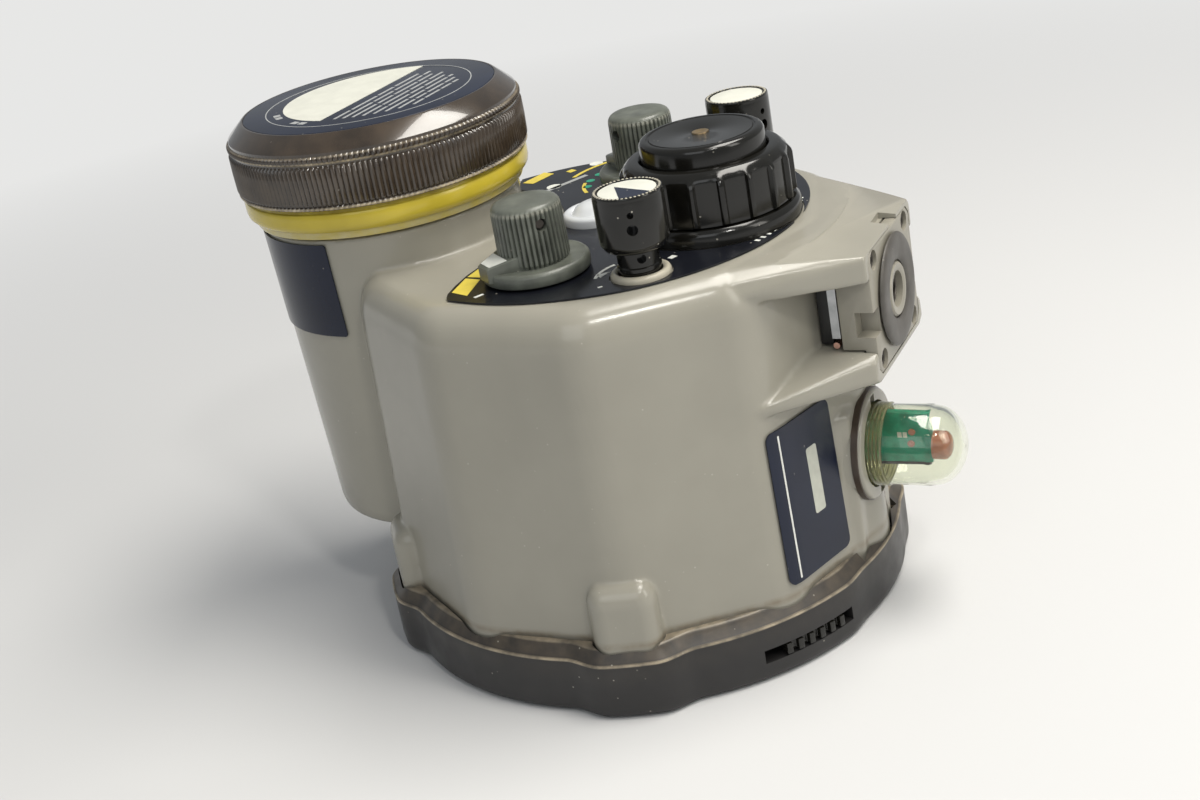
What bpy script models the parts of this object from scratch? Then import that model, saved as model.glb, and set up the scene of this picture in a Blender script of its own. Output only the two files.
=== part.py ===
"""Underwater strobe, face down on its front bezel, with its battery tube at -X and its mount at +X."""

from math import cos, pi, radians, sin, tan

import bmesh
import bpy

MM = 0.001
CLEARANCE = 0.3 * MM

# Flash head: a round shell with ten soft facets, a corner of them at +X
FACETS = 10
FACET_ROUND = 16.0 * MM
HEAD_FLAT_LOW = 46.3 * MM
HEAD_DRAFT = 1.9 * MM
HEAD_WALL = 3.0 * MM
PANEL_THICK = 3.0 * MM
RIM_DEPTH = 8.0 * MM
RIM_INSET = 5.5 * MM
HEAD_FLAT_HIGH = HEAD_FLAT_LOW - HEAD_DRAFT

# Front: bezel, window and gasket, clamped by screws into four bosses
BEZEL_HEIGHT = 13.2 * MM
BEZEL_WALL = 3.6 * MM
BEZEL_BULGE = 2.8 * MM
BEZEL_PILLAR_BULGE = -1.0 * MM
BEZEL_LIP_RADIUS = 40.0 * MM
BEZEL_LIP_THICK = 2.4 * MM
BEZEL_RADIUS = HEAD_FLAT_LOW + BEZEL_WALL
WINDOW_RADIUS = HEAD_FLAT_LOW - 1.8 * MM
WINDOW_THICK = 4.4 * MM
GASKET_WIDTH = 1.2 * MM
GASKET_HEIGHT = 0.7 * MM
WINDOW_Z = BEZEL_LIP_THICK + CLEARANCE / 3
GASKET_Z = WINDOW_Z + WINDOW_THICK + 0.2 * MM
HEAD_FRONT_Z = GASKET_Z + GASKET_HEIGHT + 0.2 * MM
BOSS_STEP = radians(72)
BOSS_REACH = 4.1 * MM
BOSS_HALF_WIDTH = 6.2 * MM
BOSS_HEIGHT = 11.2 * MM
BOSS_ROUND = 2.6 * MM
BOSS_OUTER_RADIUS = HEAD_FLAT_LOW + BOSS_REACH
BOSS_TOP_Z = BEZEL_HEIGHT + BOSS_HEIGHT
BEZEL_SCREW_RADIUS = 1.5 * MM
BEZEL_SCREW_HEAD = 2.2 * MM
BEZEL_SCREW_HEAD_THICK = 2.1 * MM
BEZEL_SCREW_SINK = 1.0 * MM
BEZEL_SCREW_PLACE = BOSS_OUTER_RADIUS - 2.9 * MM

# Filter catch, which slides along the bezel
CATCH_CENTRE = radians(-32.4)
CATCH_SPAN = radians(15.2)
CATCH_BACK = radians(5.0)
CATCH_AHEAD = radians(2.8)
CATCH_HEIGHT = 2.0 * MM
CATCH_Z = 4.9 * MM
CATCH_RIBS = 6
CATCH_RIB_DEPTH = 0.9 * MM
CATCH_PROUD = 0.2 * MM
CATCH_INNER_RADIUS = WINDOW_RADIUS + 2.0 * MM

# Battery side
CELL_RADIUS = 7.25 * MM
CELL_LENGTH = 50.5 * MM
CELL_OFFSET = CELL_RADIUS + 0.95 * MM
CELL_NUB_RADIUS = 2.7 * MM
CELL_NUB = 1.0 * MM
BATTERY_INSET = 3.45 * MM
TUBE_LIFT = 6.8 * MM
TUBE_RISE = 7.0 * MM
TUBE_WALL = 1.5 * MM
TUBE_DRAFT = 1.7 * MM
TUBE_FLOOR = 2.3 * MM
TUBE_ROUND = 2.4 * MM
SLEEVE_FLOOR = 1.8 * MM
SLEEVE_WALL = 1.2 * MM
SLEEVE_FLANGE_REACH = 2.6 * MM
SLEEVE_FLANGE_HEIGHT = 6.0 * MM
CONTACT_THICK = 1.4 * MM
NECK_WALL = 4.0 * MM
NECK_HEIGHT = 8.8 * MM
THREAD_DEPTH = 0.45 * MM
CAP_WALL = 4.1 * MM
CAP_HEIGHT = 13.7 * MM
CAP_ROOF = 3.3 * MM
CAP_LABEL_THICK = 0.4 * MM
SLEEVE_BORE = CELL_OFFSET * 2**0.5 + CELL_RADIUS + 1.35 * MM
SLEEVE_RADIUS = SLEEVE_BORE + SLEEVE_WALL
TUBE_RADIUS_LOW = SLEEVE_RADIUS + CLEARANCE + TUBE_WALL
TUBE_RADIUS_HIGH = TUBE_RADIUS_LOW + TUBE_DRAFT
SLEEVE_FLANGE_RADIUS = TUBE_RADIUS_HIGH + SLEEVE_FLANGE_REACH
NECK_RADIUS = SLEEVE_BORE + NECK_WALL
CAP_RADIUS = NECK_RADIUS + CAP_WALL
CAP_TOP_RADIUS = CAP_RADIUS - 3.5 * MM
CAP_LABEL_RADIUS = CAP_TOP_RADIUS - 2.9 * MM
BATTERY_X = BATTERY_INSET - HEAD_FLAT_LOW
TUBE_FOOT_Z = BEZEL_HEIGHT + TUBE_LIFT
SLEEVE_FOOT_Z = TUBE_FOOT_Z + TUBE_FLOOR + CLEARANCE
CONTACT_Z = SLEEVE_FOOT_Z + SLEEVE_FLOOR + CLEARANCE
CELL_Z = CONTACT_Z + CONTACT_THICK + CLEARANCE
CELL_TOP_Z = CELL_Z + CELL_LENGTH
TUBE_TOP_Z = CELL_TOP_Z + 3.6 * MM
SLEEVE_FLANGE_TOP_Z = TUBE_TOP_Z + CLEARANCE + SLEEVE_FLANGE_HEIGHT
CAP_TOP_Z = SLEEVE_FLANGE_TOP_Z + CAP_HEIGHT

# The rear panel lies this far below the battery tube's top
PANEL_Z = TUBE_TOP_Z - TUBE_RISE
RIM_START_Z = PANEL_Z - RIM_DEPTH

# Dials on the rear panel
KNOB_Y = 25.4 * MM
KNOB_RADIUS = 6.2 * MM
KNOB_HEIGHT = 13.8 * MM
KNOB_ROUND = 1.6 * MM
SKIRT_RADIUS = KNOB_RADIUS + 3.3 * MM
SKIRT_GAP = 0.7 * MM
SKIRT_THICK = 2.5 * MM
ARM_HALF_WIDTH = 2.2 * MM
ARM_RISE = 1.6 * MM
KNOB_SHAFT_RADIUS = 3.0 * MM
KNOB_ROOF = 1.6 * MM
GRUB_RADIUS = 0.8 * MM
GRUB_DEPTH = 3.4 * MM
GRUB_TURN = radians(-95)
KNOB_TURNS = {"mode": radians(55), "power": radians(-25)}

# Sync port
SYNC_X = 23.2 * MM
SYNC_COLLAR_RADIUS = 16.0 * MM
SYNC_COLLAR_HEIGHT = 3.3 * MM
SYNC_NUT_HEIGHT = 9.8 * MM
SYNC_NUT_CHAMFER = 1.7 * MM
SYNC_NUT_RIBS = 18
SYNC_RIB_HEIGHT = 0.7 * MM
SYNC_NECK_HEIGHT = 6.1 * MM
SYNC_DISC_HEIGHT = 3.5 * MM
SYNC_BODY_DEPTH = 9.5 * MM
SYNC_WALL = 3.3 * MM
SYNC_NUT_RADIUS = SYNC_COLLAR_RADIUS - 0.55 * MM
SYNC_NECK_RADIUS = SYNC_NUT_RADIUS - 2.35 * MM
SYNC_BORE = SYNC_NECK_RADIUS - SYNC_WALL
SYNC_BODY_RADIUS = SYNC_BORE + 1.2 * MM
SYNC_DISC_RADIUS = SYNC_NECK_RADIUS - 1.95 * MM
SYNC_BODY_FOOT_Z = PANEL_Z - SYNC_BODY_DEPTH
SYNC_COLLAR_TOP_Z = PANEL_Z + SYNC_COLLAR_HEIGHT
SYNC_NECK_TOP_Z = SYNC_COLLAR_TOP_Z + SYNC_NECK_HEIGHT
SYNC_NUT_TOP_Z = SYNC_COLLAR_TOP_Z + SYNC_NUT_HEIGHT

# Lock knobs, which push in and turn
LOCK_X = 20.1 * MM
LOCK_Y = 26.6 * MM
LOCK_RADIUS = 6.0 * MM
LOCK_LIFT = 5.5 * MM
LOCK_LENGTH = 9.9 * MM
LOCK_ROD_RADIUS = 3.6 * MM
LOCK_ROD_DEPTH = 9.0 * MM
LOCK_COLLAR_RADIUS = LOCK_ROD_RADIUS + 1.6 * MM
LOCK_COLLAR_THICK = 1.1 * MM

# Labels and the ready lamp
LABEL_THICK = 0.3 * MM
LABEL_GAP = 0.2 * MM
LABEL_RADIUS = HEAD_FLAT_HIGH - RIM_INSET + 0.5 * MM
LABEL_START = radians(-109)
LABEL_END = radians(137)
LABEL_LEFT_SIDE = [(-26.5, 20.5), (-17, 16), (-11.5, 9), (-8.6, 4), (-8.4, -8), (-11, -17), (-14, -27)]
LAMP_X = -1.0 * MM
LAMP_Y = 2.4 * MM
LAMP_RADIUS = 6.3 * MM
LAMP_HEIGHT = 2.2 * MM
NAMEPLATE_MARGIN = 2.2 * MM
TUBE_LABEL_HEIGHT = 18.3 * MM
TUBE_LABEL_START = radians(160)
TUBE_LABEL_END = radians(270)

# Arm mount, a block set in the ends of two flanges
MOUNT_DROP = 13.5 * MM
MOUNT_REACH = 8.6 * MM
MOUNT_PLATE_THICK = 2.2 * MM
MOUNT_PLATE_HALF_Z = 11.0 * MM
MOUNT_PLATE_CUT = 1.5 * MM
MOUNT_HALF_Y = 12.9 * MM
MOUNT_STEM_HALF_Z = 6.2 * MM
MOUNT_LIP = 1.2 * MM
MOUNT_BOLT_RADIUS = 3.2 * MM
MOUNT_BOSS_WALL = 1.6 * MM
MOUNT_BOSS_PROUD = 0.8 * MM
MOUNT_RING_WIDTH = 4.9 * MM
MOUNT_RING_THICK = 1.1 * MM
MOUNT_NOTCH_DEPTH = 3.2 * MM
MOUNT_NOTCH_LOW = 3.8 * MM
MOUNT_NOTCH_HIGH = 0.8 * MM
MOUNT_SCREW_RADIUS = 1.2 * MM
MOUNT_SCREW_HEAD = 1.5 * MM
MOUNT_SCREW_RECESS = 1.5 * MM
MOUNT_SCREW_DEPTH = 6.0 * MM
MOUNT_SCREW_Y = MOUNT_HALF_Y - MOUNT_SCREW_HEAD - 1.8 * MM
MOUNT_SCREW_Z = MOUNT_PLATE_HALF_Z - MOUNT_SCREW_HEAD - 0.5 * MM
MOUNT_SLOT_DEPTH = 4.6 * MM
NUT_PLATE_THICK = 1.5 * MM
NUT_RADIUS = MOUNT_BOLT_RADIUS + 1.4 * MM
PIN_RADIUS = 0.6 * MM
MOUNT_Z = PANEL_Z - MOUNT_DROP
MOUNT_FACE_X = HEAD_FLAT_LOW + MOUNT_REACH
SLOT_WALL_X = HEAD_FLAT_HIGH - CLEARANCE
STEM_X = SLOT_WALL_X + MOUNT_SLOT_DEPTH
MOUNT_PLATE_X = MOUNT_FACE_X - MOUNT_PLATE_THICK
MOUNT_RING_BORE = MOUNT_BOLT_RADIUS + MOUNT_BOSS_WALL
FLANGE_SPREAD_X = HEAD_FLAT_HIGH * cos(2 * pi / FACETS)
FLANGE_SPREAD_Y = HEAD_FLAT_HIGH * sin(2 * pi / FACETS) + MM
FLANGE_NOTCH_Y = (0.9 * MM, 5.5 * MM)
WING_TIP_DROP = 2.2 * MM

# Light sensor on its pillar
SENSOR_Z = 29.7 * MM
SENSOR_RADIUS = 7.7 * MM
SENSOR_WALL = 1.3 * MM
SENSOR_SINK = 4.6 * MM
SENSOR_LENGTH = 16.6 * MM
SENSOR_DOME = 5.5 * MM
SEAT_RADIUS = SENSOR_RADIUS + 2.5 * MM
SEAT_PROUD = 2.4 * MM
PILLAR_X = HEAD_FLAT_LOW + 0.3 * MM
PILLAR_HALF_Y = SEAT_RADIUS + 0.4 * MM
PILLAR_TOP_Z = SENSOR_Z + 13.3 * MM
PILLAR_ROUND = 2.0 * MM
SEAT_FACE_X = PILLAR_X + SEAT_PROUD
SENSOR_BASE_X = PILLAR_X - SENSOR_SINK
SENSOR_TIP_X = SEAT_FACE_X + SENSOR_LENGTH
SENSOR_DOME_X = SENSOR_TIP_X - SENSOR_DOME
SENSOR_BOARD_THICK = 1.6 * MM

# Light source and electronics
REFLECTOR_EDGE = 1.0 * MM
REFLECTOR_DEPTH = 10.3 * MM
REFLECTOR_SHEET = 0.8 * MM
FLASH_TUBE_Z = 3.3 * MM
FLASH_TUBE_RADIUS = 2.2 * MM
FOCUS_LAMP_RADIUS = 6.0 * MM
CAPACITOR_RADIUS = 12.0 * MM
CAPACITOR_X = -3.0 * MM
BOARD_THICK = 1.6 * MM
MAIN_BOARD_HALF_Y = 22.0 * MM
TRANSFORMER_SIZE = (12.0 * MM, 16.0 * MM, 14.0 * MM)
TRANSFORMER_Y = 3.0 * MM
CONTROL_BOARD_HALF = [(-14, 26), (9, 26), (12, 19), (34, 16)]
REFLECTOR_RIM_Z = HEAD_FRONT_Z + CLEARANCE
REFLECTOR_RIM_RADIUS = HEAD_FLAT_LOW - HEAD_WALL - REFLECTOR_EDGE
FLASH_TUBE_X = 0.355 * REFLECTOR_RIM_RADIUS
FLASH_TUBE_HALF = 0.567 * REFLECTOR_RIM_RADIUS
CONTROL_BOARD_Z = SYNC_BODY_FOOT_Z - 0.4 * MM - BOARD_THICK

# The origin is under the centre of the whole object's box
HEAD_X = -(BATTERY_X - CAP_RADIUS + SENSOR_TIP_X) / 2

FINISHES = {
    "housing_grey": ((0.36, 0.34, 0.29), 0.3, 0.0),
    "bezel_black": ((0.055, 0.052, 0.05), 0.6, 0.0),
    "cap_smoke": ((0.06, 0.045, 0.035), 0.25, 0.0),
    "collar_yellow": ((0.55, 0.45, 0.06), 0.3, 0.0),
    "gloss_black": ((0.02, 0.02, 0.022), 0.25, 0.0),
    "knob_slate": ((0.17, 0.19, 0.17), 0.5, 0.0),
    "label_navy": ((0.015, 0.022, 0.06), 0.4, 0.0),
    "clear_plastic": ((0.75, 0.76, 0.65), 0.1, 0.0),
    "window_glass": ((0.8, 0.85, 0.85), 0.05, 0.0),
    "rubber_grey": ((0.13, 0.13, 0.13), 0.8, 0.0),
    "seal_black": ((0.03, 0.03, 0.03), 0.6, 0.0),
    "board_green": ((0.01, 0.22, 0.14), 0.45, 0.0),
    "diode_red": ((0.4, 0.12, 0.06), 0.4, 0.0),
    "steel": ((0.6, 0.6, 0.6), 0.3, 1.0),
    "brass": ((0.65, 0.5, 0.25), 0.35, 1.0),
    "reflector_silver": ((0.8, 0.8, 0.8), 0.12, 1.0),
    "cell_wrap": ((0.1, 0.1, 0.1), 0.35, 0.0),
    "holder_white": ((0.7, 0.7, 0.68), 0.5, 0.0),
    "lamp_white": ((0.8, 0.8, 0.75), 0.2, 0.0),
}

ALONG_X = (0, pi / 2, 0)
ALONG_Y = (pi / 2, 0, 0)


def clear_scene():
    for obj in list(bpy.data.objects):
        bpy.data.objects.remove(obj, do_unlink=True)


def material(finish):
    found = bpy.data.materials.get(finish)
    if found:
        return found
    colour, roughness, metallic = FINISHES[finish]
    made = bpy.data.materials.new(finish)
    made.use_nodes = True
    shader = made.node_tree.nodes["Principled BSDF"]
    shader.inputs["Base Color"].default_value = (*colour, 1.0)
    shader.inputs["Roughness"].default_value = roughness
    shader.inputs["Metallic"].default_value = metallic
    return made


def add(name, shape, finish, place=(0, 0, 0), turn=(0, 0, 0)):
    """Makes an object from a bmesh. Its place is counted from the flash head's axis."""
    bmesh.ops.recalc_face_normals(shape, faces=shape.faces)
    mesh = bpy.data.meshes.new(name)
    shape.to_mesh(mesh)
    shape.free()
    mesh.shade_smooth()
    mesh.set_sharp_from_angle(angle=radians(35))
    mesh.materials.append(material(finish))
    obj = bpy.data.objects.new(name, mesh)
    bpy.context.scene.collection.objects.link(obj)
    obj.parent = bpy.data.objects["strobe"]
    obj.location = place
    obj.rotation_euler = turn
    return obj


def tool(name, shape, place=(0, 0, 0), turn=(0, 0, 0)):
    """A solid that only cuts or joins, and isn't part of the object."""
    obj = add(name, shape, "housing_grey", place, turn)
    obj.hide_render = True
    obj.display_type = "WIRE"
    return obj


def combine(target, other, operation):
    step = target.modifiers.new(other.name, "BOOLEAN")
    step.operation = operation
    step.solver = "EXACT"
    step.object = other


def cut(target, *others):
    for other in others:
        combine(target, other, "DIFFERENCE")


def join(target, *others):
    for other in others:
        combine(target, other, "UNION")


def loft(rings, ringed=False):
    """Skins rings of equal counts. Its ends are capped, or joined to each other where it is ringed."""
    shape = bmesh.new()
    rows = [[shape.verts.new(point) for point in ring] for ring in rings]
    count = len(rows[0])
    pairs = list(zip(rows, rows[1:]))
    if ringed:
        pairs.append((rows[-1], rows[0]))
    for low, high in pairs:
        for i in range(count):
            j = (i + 1) % count
            shape.faces.new((low[i], low[j], high[j], high[i]))
    if not ringed:
        shape.faces.new(rows[0][::-1])
        shape.faces.new(rows[-1])
    return shape


def turned(profile, steps=40, ringed=False):
    """Turns (radius, z) points about Z. A ringed profile is a closed loop clear of the axis."""
    angles = [2 * pi * i / steps for i in range(steps)]
    return loft([[(r * cos(a), r * sin(a), z) for a in angles] for r, z in profile], ringed)


def rod(radius, low, high, steps=12):
    return turned([(radius, low), (radius, high)], steps)


def prism(outline, low, high):
    return loft([[(x, y, z) for x, y in outline] for z in (low, high)])


def box(low, high):
    outline = [(low[0], low[1]), (high[0], low[1]), (high[0], high[1]), (low[0], high[1])]
    return prism(outline, low[2], high[2])


def hull(points):
    shape = bmesh.new()
    for point in points:
        shape.verts.new(point)
    found = bmesh.ops.convex_hull(shape, input=shape.verts)
    spare = [v for v in found["geom_interior"] if isinstance(v, bmesh.types.BMVert)]
    bmesh.ops.delete(shape, geom=spare, context="VERTS")
    return shape


def mirrored(points):
    return [(x, side * y, z) for x, y, z in points for side in (1, -1)]


def arc(radius, start, end, steps):
    angles = [start + (end - start) * i / steps for i in range(steps + 1)]
    return [(radius * cos(a), radius * sin(a)) for a in angles]


def faceted(flat, rounding, z, steps=4):
    """The flash head's outline: ten flats joined by round corners."""
    half = pi / FACETS
    reach = (flat - rounding) / cos(half)
    ring = []
    for corner in range(FACETS):
        middle = 2 * half * corner
        centre = (reach * cos(middle), reach * sin(middle))
        corner_arc = arc(rounding, middle - half, middle + half, steps)
        ring += [(centre[0] + x, centre[1] + y, z) for x, y in corner_arc]
    return ring


def head_flat(z):
    """How far the flats of the drafted wall are from the axis at height z."""
    share = (z - BEZEL_HEIGHT) / (RIM_START_Z - BEZEL_HEIGHT)
    return HEAD_FLAT_LOW - share * HEAD_DRAFT


def flange_half(x):
    """Half the width of the mount's flanges, which spread from the mount's face to the head's wall."""
    end = MOUNT_HALF_Y + MOUNT_LIP
    slope = (FLANGE_SPREAD_Y - end) / (MOUNT_FACE_X - FLANGE_SPREAD_X)
    return end + slope * (MOUNT_FACE_X - x)


def boss_angles():
    return {i: i * BOSS_STEP for i in (-2, -1, 1, 2)}


def bezel_screw_places():
    return [(BEZEL_SCREW_PLACE * cos(a), BEZEL_SCREW_PLACE * sin(a), 0) for a in boss_angles().values()]


def mount_screw_places():
    sides = (-1, 1)
    return [(0, i * MOUNT_SCREW_Y, MOUNT_Z + j * MOUNT_SCREW_Z) for i in sides for j in sides]


def head_shell():
    rings = [faceted(head_flat(z), FACET_ROUND, z) for z in (HEAD_FRONT_Z, RIM_START_Z)]
    for step in (1, 2, 3, 4):
        a = pi / 2 * step / 4
        inset = RIM_INSET * (1 - cos(a))
        z = RIM_START_Z + RIM_DEPTH * sin(a)
        rings.append(faceted(HEAD_FLAT_HIGH - inset, FACET_ROUND - inset, z))
    return loft(rings)


def head_cavity():
    rounding = FACET_ROUND - HEAD_WALL
    levels = (HEAD_FRONT_Z - MM, RIM_START_Z - HEAD_WALL)
    rings = [faceted(head_flat(z) - HEAD_WALL, rounding, z) for z in levels]
    roof = faceted(HEAD_FLAT_HIGH - HEAD_WALL - RIM_INSET, rounding - RIM_INSET, PANEL_Z - PANEL_THICK)
    return loft(rings + [roof])


def tube_shell():
    return turned([
        (TUBE_RADIUS_LOW - TUBE_ROUND, TUBE_FOOT_Z),
        (TUBE_RADIUS_LOW - 0.3 * TUBE_ROUND, TUBE_FOOT_Z + 0.3 * TUBE_ROUND),
        (TUBE_RADIUS_LOW, TUBE_FOOT_Z + TUBE_ROUND),
        (TUBE_RADIUS_HIGH, TUBE_TOP_Z),
    ])


def upper_flange(above):
    """Carries the mount from the rear panel's level down to above."""
    half = flange_half(MOUNT_FACE_X)
    top = MOUNT_Z + MOUNT_PLATE_HALF_Z + MOUNT_LIP
    deck = PANEL_Z - CLEARANCE
    back_x = FLANGE_SPREAD_X - 8 * MM
    return hull(mirrored([
        (MOUNT_FACE_X, half - 1.4 * MM, top),
        (MOUNT_FACE_X, half, top - 1.4 * MM),
        (MOUNT_FACE_X, half, above),
        (HEAD_FLAT_HIGH, half / 2, deck),
        (FLANGE_SPREAD_X - MM, FLANGE_SPREAD_Y - 3 * MM, deck),
        (FLANGE_SPREAD_X, FLANGE_SPREAD_Y - MM, deck - 1.6 * MM),
        (FLANGE_SPREAD_X, FLANGE_SPREAD_Y, deck - 4 * MM),
        (FLANGE_SPREAD_X, FLANGE_SPREAD_Y - MM, above + MM),
        (back_x, half, deck),
        (back_x, half, above),
    ]))


def lower_wing(below):
    """Carries the mount from below down, and runs out along the head's wall to a tip on each side."""
    half = flange_half(MOUNT_FACE_X)
    bottom = MOUNT_Z - MOUNT_PLATE_HALF_Z - MOUNT_LIP
    tip_x = FLANGE_SPREAD_X + 1.2 * MM
    tip_z = bottom - 0.1 * MM
    return hull(mirrored([
        (MOUNT_FACE_X, half - 1.2 * MM, below),
        (MOUNT_FACE_X, half + 0.4 * MM, below - 1.3 * MM),
        (MOUNT_FACE_X, half + 0.7 * MM, bottom + MM),
        (MOUNT_FACE_X, half - 1.5 * MM, bottom),
        (SLOT_WALL_X, half, below),
        (tip_x, FLANGE_SPREAD_Y + 0.3 * MM, tip_z + 1.6 * MM),
        (tip_x, FLANGE_SPREAD_Y, tip_z),
        (FLANGE_SPREAD_X, half, below),
        (FLANGE_SPREAD_X, half, tip_z),
    ]))


def sensor_pillar():
    points = []
    slope = 2 * PILLAR_ROUND
    for z, shrink in ((HEAD_FRONT_Z, 0), (PILLAR_TOP_Z - slope, 0), (PILLAR_TOP_Z, slope)):
        out = PILLAR_X - shrink
        wide = PILLAR_HALF_Y - shrink / 2
        corner = [(out, wide - PILLAR_ROUND, z), (out - PILLAR_ROUND, wide, z), (PILLAR_X / 2, wide, z)]
        points += mirrored(corner)
    return hull(points)


def boss_ring(grow, z):
    """The soft outline of a screw boss at +X, from inside the wall out."""
    out = BOSS_OUTER_RADIUS + grow
    wide = BOSS_HALF_WIDTH + grow
    half = [
        (out, wide - 2.3 * MM),
        (out - 0.7 * MM, wide - 0.8 * MM),
        (out - 2.2 * MM, wide),
        (HEAD_FLAT_LOW - 2 * MM, wide),
    ]
    return [(x, y, z) for x, y in half] + [(x, -y, z) for x, y in half[::-1]]


def screw_boss():
    return loft([
        boss_ring(0, HEAD_FRONT_Z),
        boss_ring(0, BOSS_TOP_Z - BOSS_ROUND),
        boss_ring(-BOSS_ROUND / 3, BOSS_TOP_Z - BOSS_ROUND / 3),
        boss_ring(-BOSS_ROUND, BOSS_TOP_Z),
    ])


def make_housing():
    housing = add("rear_housing", head_shell(), "housing_grey")
    above = MOUNT_Z + MOUNT_STEM_HALF_Z + CLEARANCE
    below = MOUNT_Z - MOUNT_STEM_HALF_Z - CLEARANCE
    tube = tool("join_tube", tube_shell(), (BATTERY_X, 0, 0))
    join(
        housing,
        tube,
        tool("join_flange", upper_flange(above)),
        tool("join_wing", lower_wing(below)),
        tool("join_pillar", sensor_pillar()),
    )
    for i, angle in boss_angles().items():
        join(housing, tool(f"join_boss_{i}", screw_boss(), (0, 0, 0), (0, 0, angle)))
    seat = [
        (SEAT_RADIUS, SENSOR_BASE_X),
        (SEAT_RADIUS, SEAT_FACE_X - 0.8 * MM),
        (SEAT_RADIUS - 0.8 * MM, SEAT_FACE_X),
    ]
    join(housing, tool("join_sensor_seat", turned(seat, 32), (0, 0, SENSOR_Z), ALONG_X))
    cavity = tool("cut_cavity", head_cavity())
    cut(cavity, tube)
    wide = 2 * MOUNT_HALF_Y
    slot = box((SLOT_WALL_X, -wide, below), (MOUNT_FACE_X + MM, wide, above))
    pocket = [(MOUNT_PLATE_X - CLEARANCE, CLEARANCE), (MOUNT_FACE_X + MM, CLEARANCE)]
    lip_z = MOUNT_Z + MOUNT_PLATE_HALF_Z
    near, far = FLANGE_NOTCH_Y
    notch = box((MOUNT_PLATE_X - MM, near, lip_z), (MOUNT_FACE_X + MM, far, PANEL_Z))
    cut(
        housing,
        cavity,
        tool("cut_mount_slot", slot),
        tool("cut_mount_pocket", loft([mount_ring(x, grow) for x, grow in pocket])),
        tool("cut_flange_notch", notch),
    )
    drill(housing, "battery", SLEEVE_RADIUS, (BATTERY_X, 0), TUBE_FOOT_Z + TUBE_FLOOR, TUBE_TOP_Z, 40)
    panel = (PANEL_Z - PANEL_THICK - 2 * MM, PANEL_Z)
    drill(housing, "sync", SYNC_BODY_RADIUS, (SYNC_X, 0), *panel, 32)
    for side, word in ((-1, "front"), (1, "rear")):
        drill(housing, f"{word}_knob", KNOB_SHAFT_RADIUS, (0, side * KNOB_Y), *panel, 16)
        drill(housing, f"{word}_lock", LOCK_ROD_RADIUS, (LOCK_X, side * LOCK_Y), *panel, 20)
    in_boss = (HEAD_FRONT_Z - MM, BOSS_TOP_Z - 4 * MM)
    for i, place in enumerate(bezel_screw_places()):
        drill(housing, f"bezel_screw_{i}", BEZEL_SCREW_RADIUS, place, *in_boss, 12)
    sensor = rod(SENSOR_RADIUS + CLEARANCE, SENSOR_BASE_X - 6 * MM, SEAT_FACE_X + MM, 32)
    cut(housing, tool("cut_sensor", sensor, (0, 0, SENSOR_Z), ALONG_X))
    foot_x = MOUNT_PLATE_X - MOUNT_SCREW_DEPTH - CLEARANCE
    for i, place in enumerate(mount_screw_places()):
        hole = rod(MOUNT_SCREW_RADIUS + CLEARANCE, foot_x, MOUNT_FACE_X, 10)
        cut(housing, tool(f"cut_mount_screw_{i}", hole, place, ALONG_X))


def drill(housing, name, radius, place, low, high, steps):
    """An upright round hole, with clearance for what goes in or through it."""
    hole = rod(radius + CLEARANCE, low, high + MM, steps)
    cut(housing, tool(f"cut_{name}", hole, (place[0], place[1], 0)))


def bezel_reach(angle):
    """The bezel's radius, which swells round each screw boss and is drawn in at the sensor's pillar."""
    reach = BEZEL_RADIUS
    fade = radians(9)
    for centre in range(5):
        away = abs((angle - centre * BOSS_STEP + pi) % (2 * pi) - pi)
        bulge, flat = (BEZEL_BULGE, radians(5)) if centre else (BEZEL_PILLAR_BULGE, radians(14))
        if away < flat:
            reach += bulge
        elif away < flat + fade:
            reach += bulge * (0.5 + 0.5 * cos(pi * (away - flat) / fade))
    return reach


def bezel_ring(inset, z, steps=72):
    angles = [2 * pi * i / steps for i in range(steps)]
    return [((bezel_reach(a) - inset) * cos(a), (bezel_reach(a) - inset) * sin(a), z) for a in angles]


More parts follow.
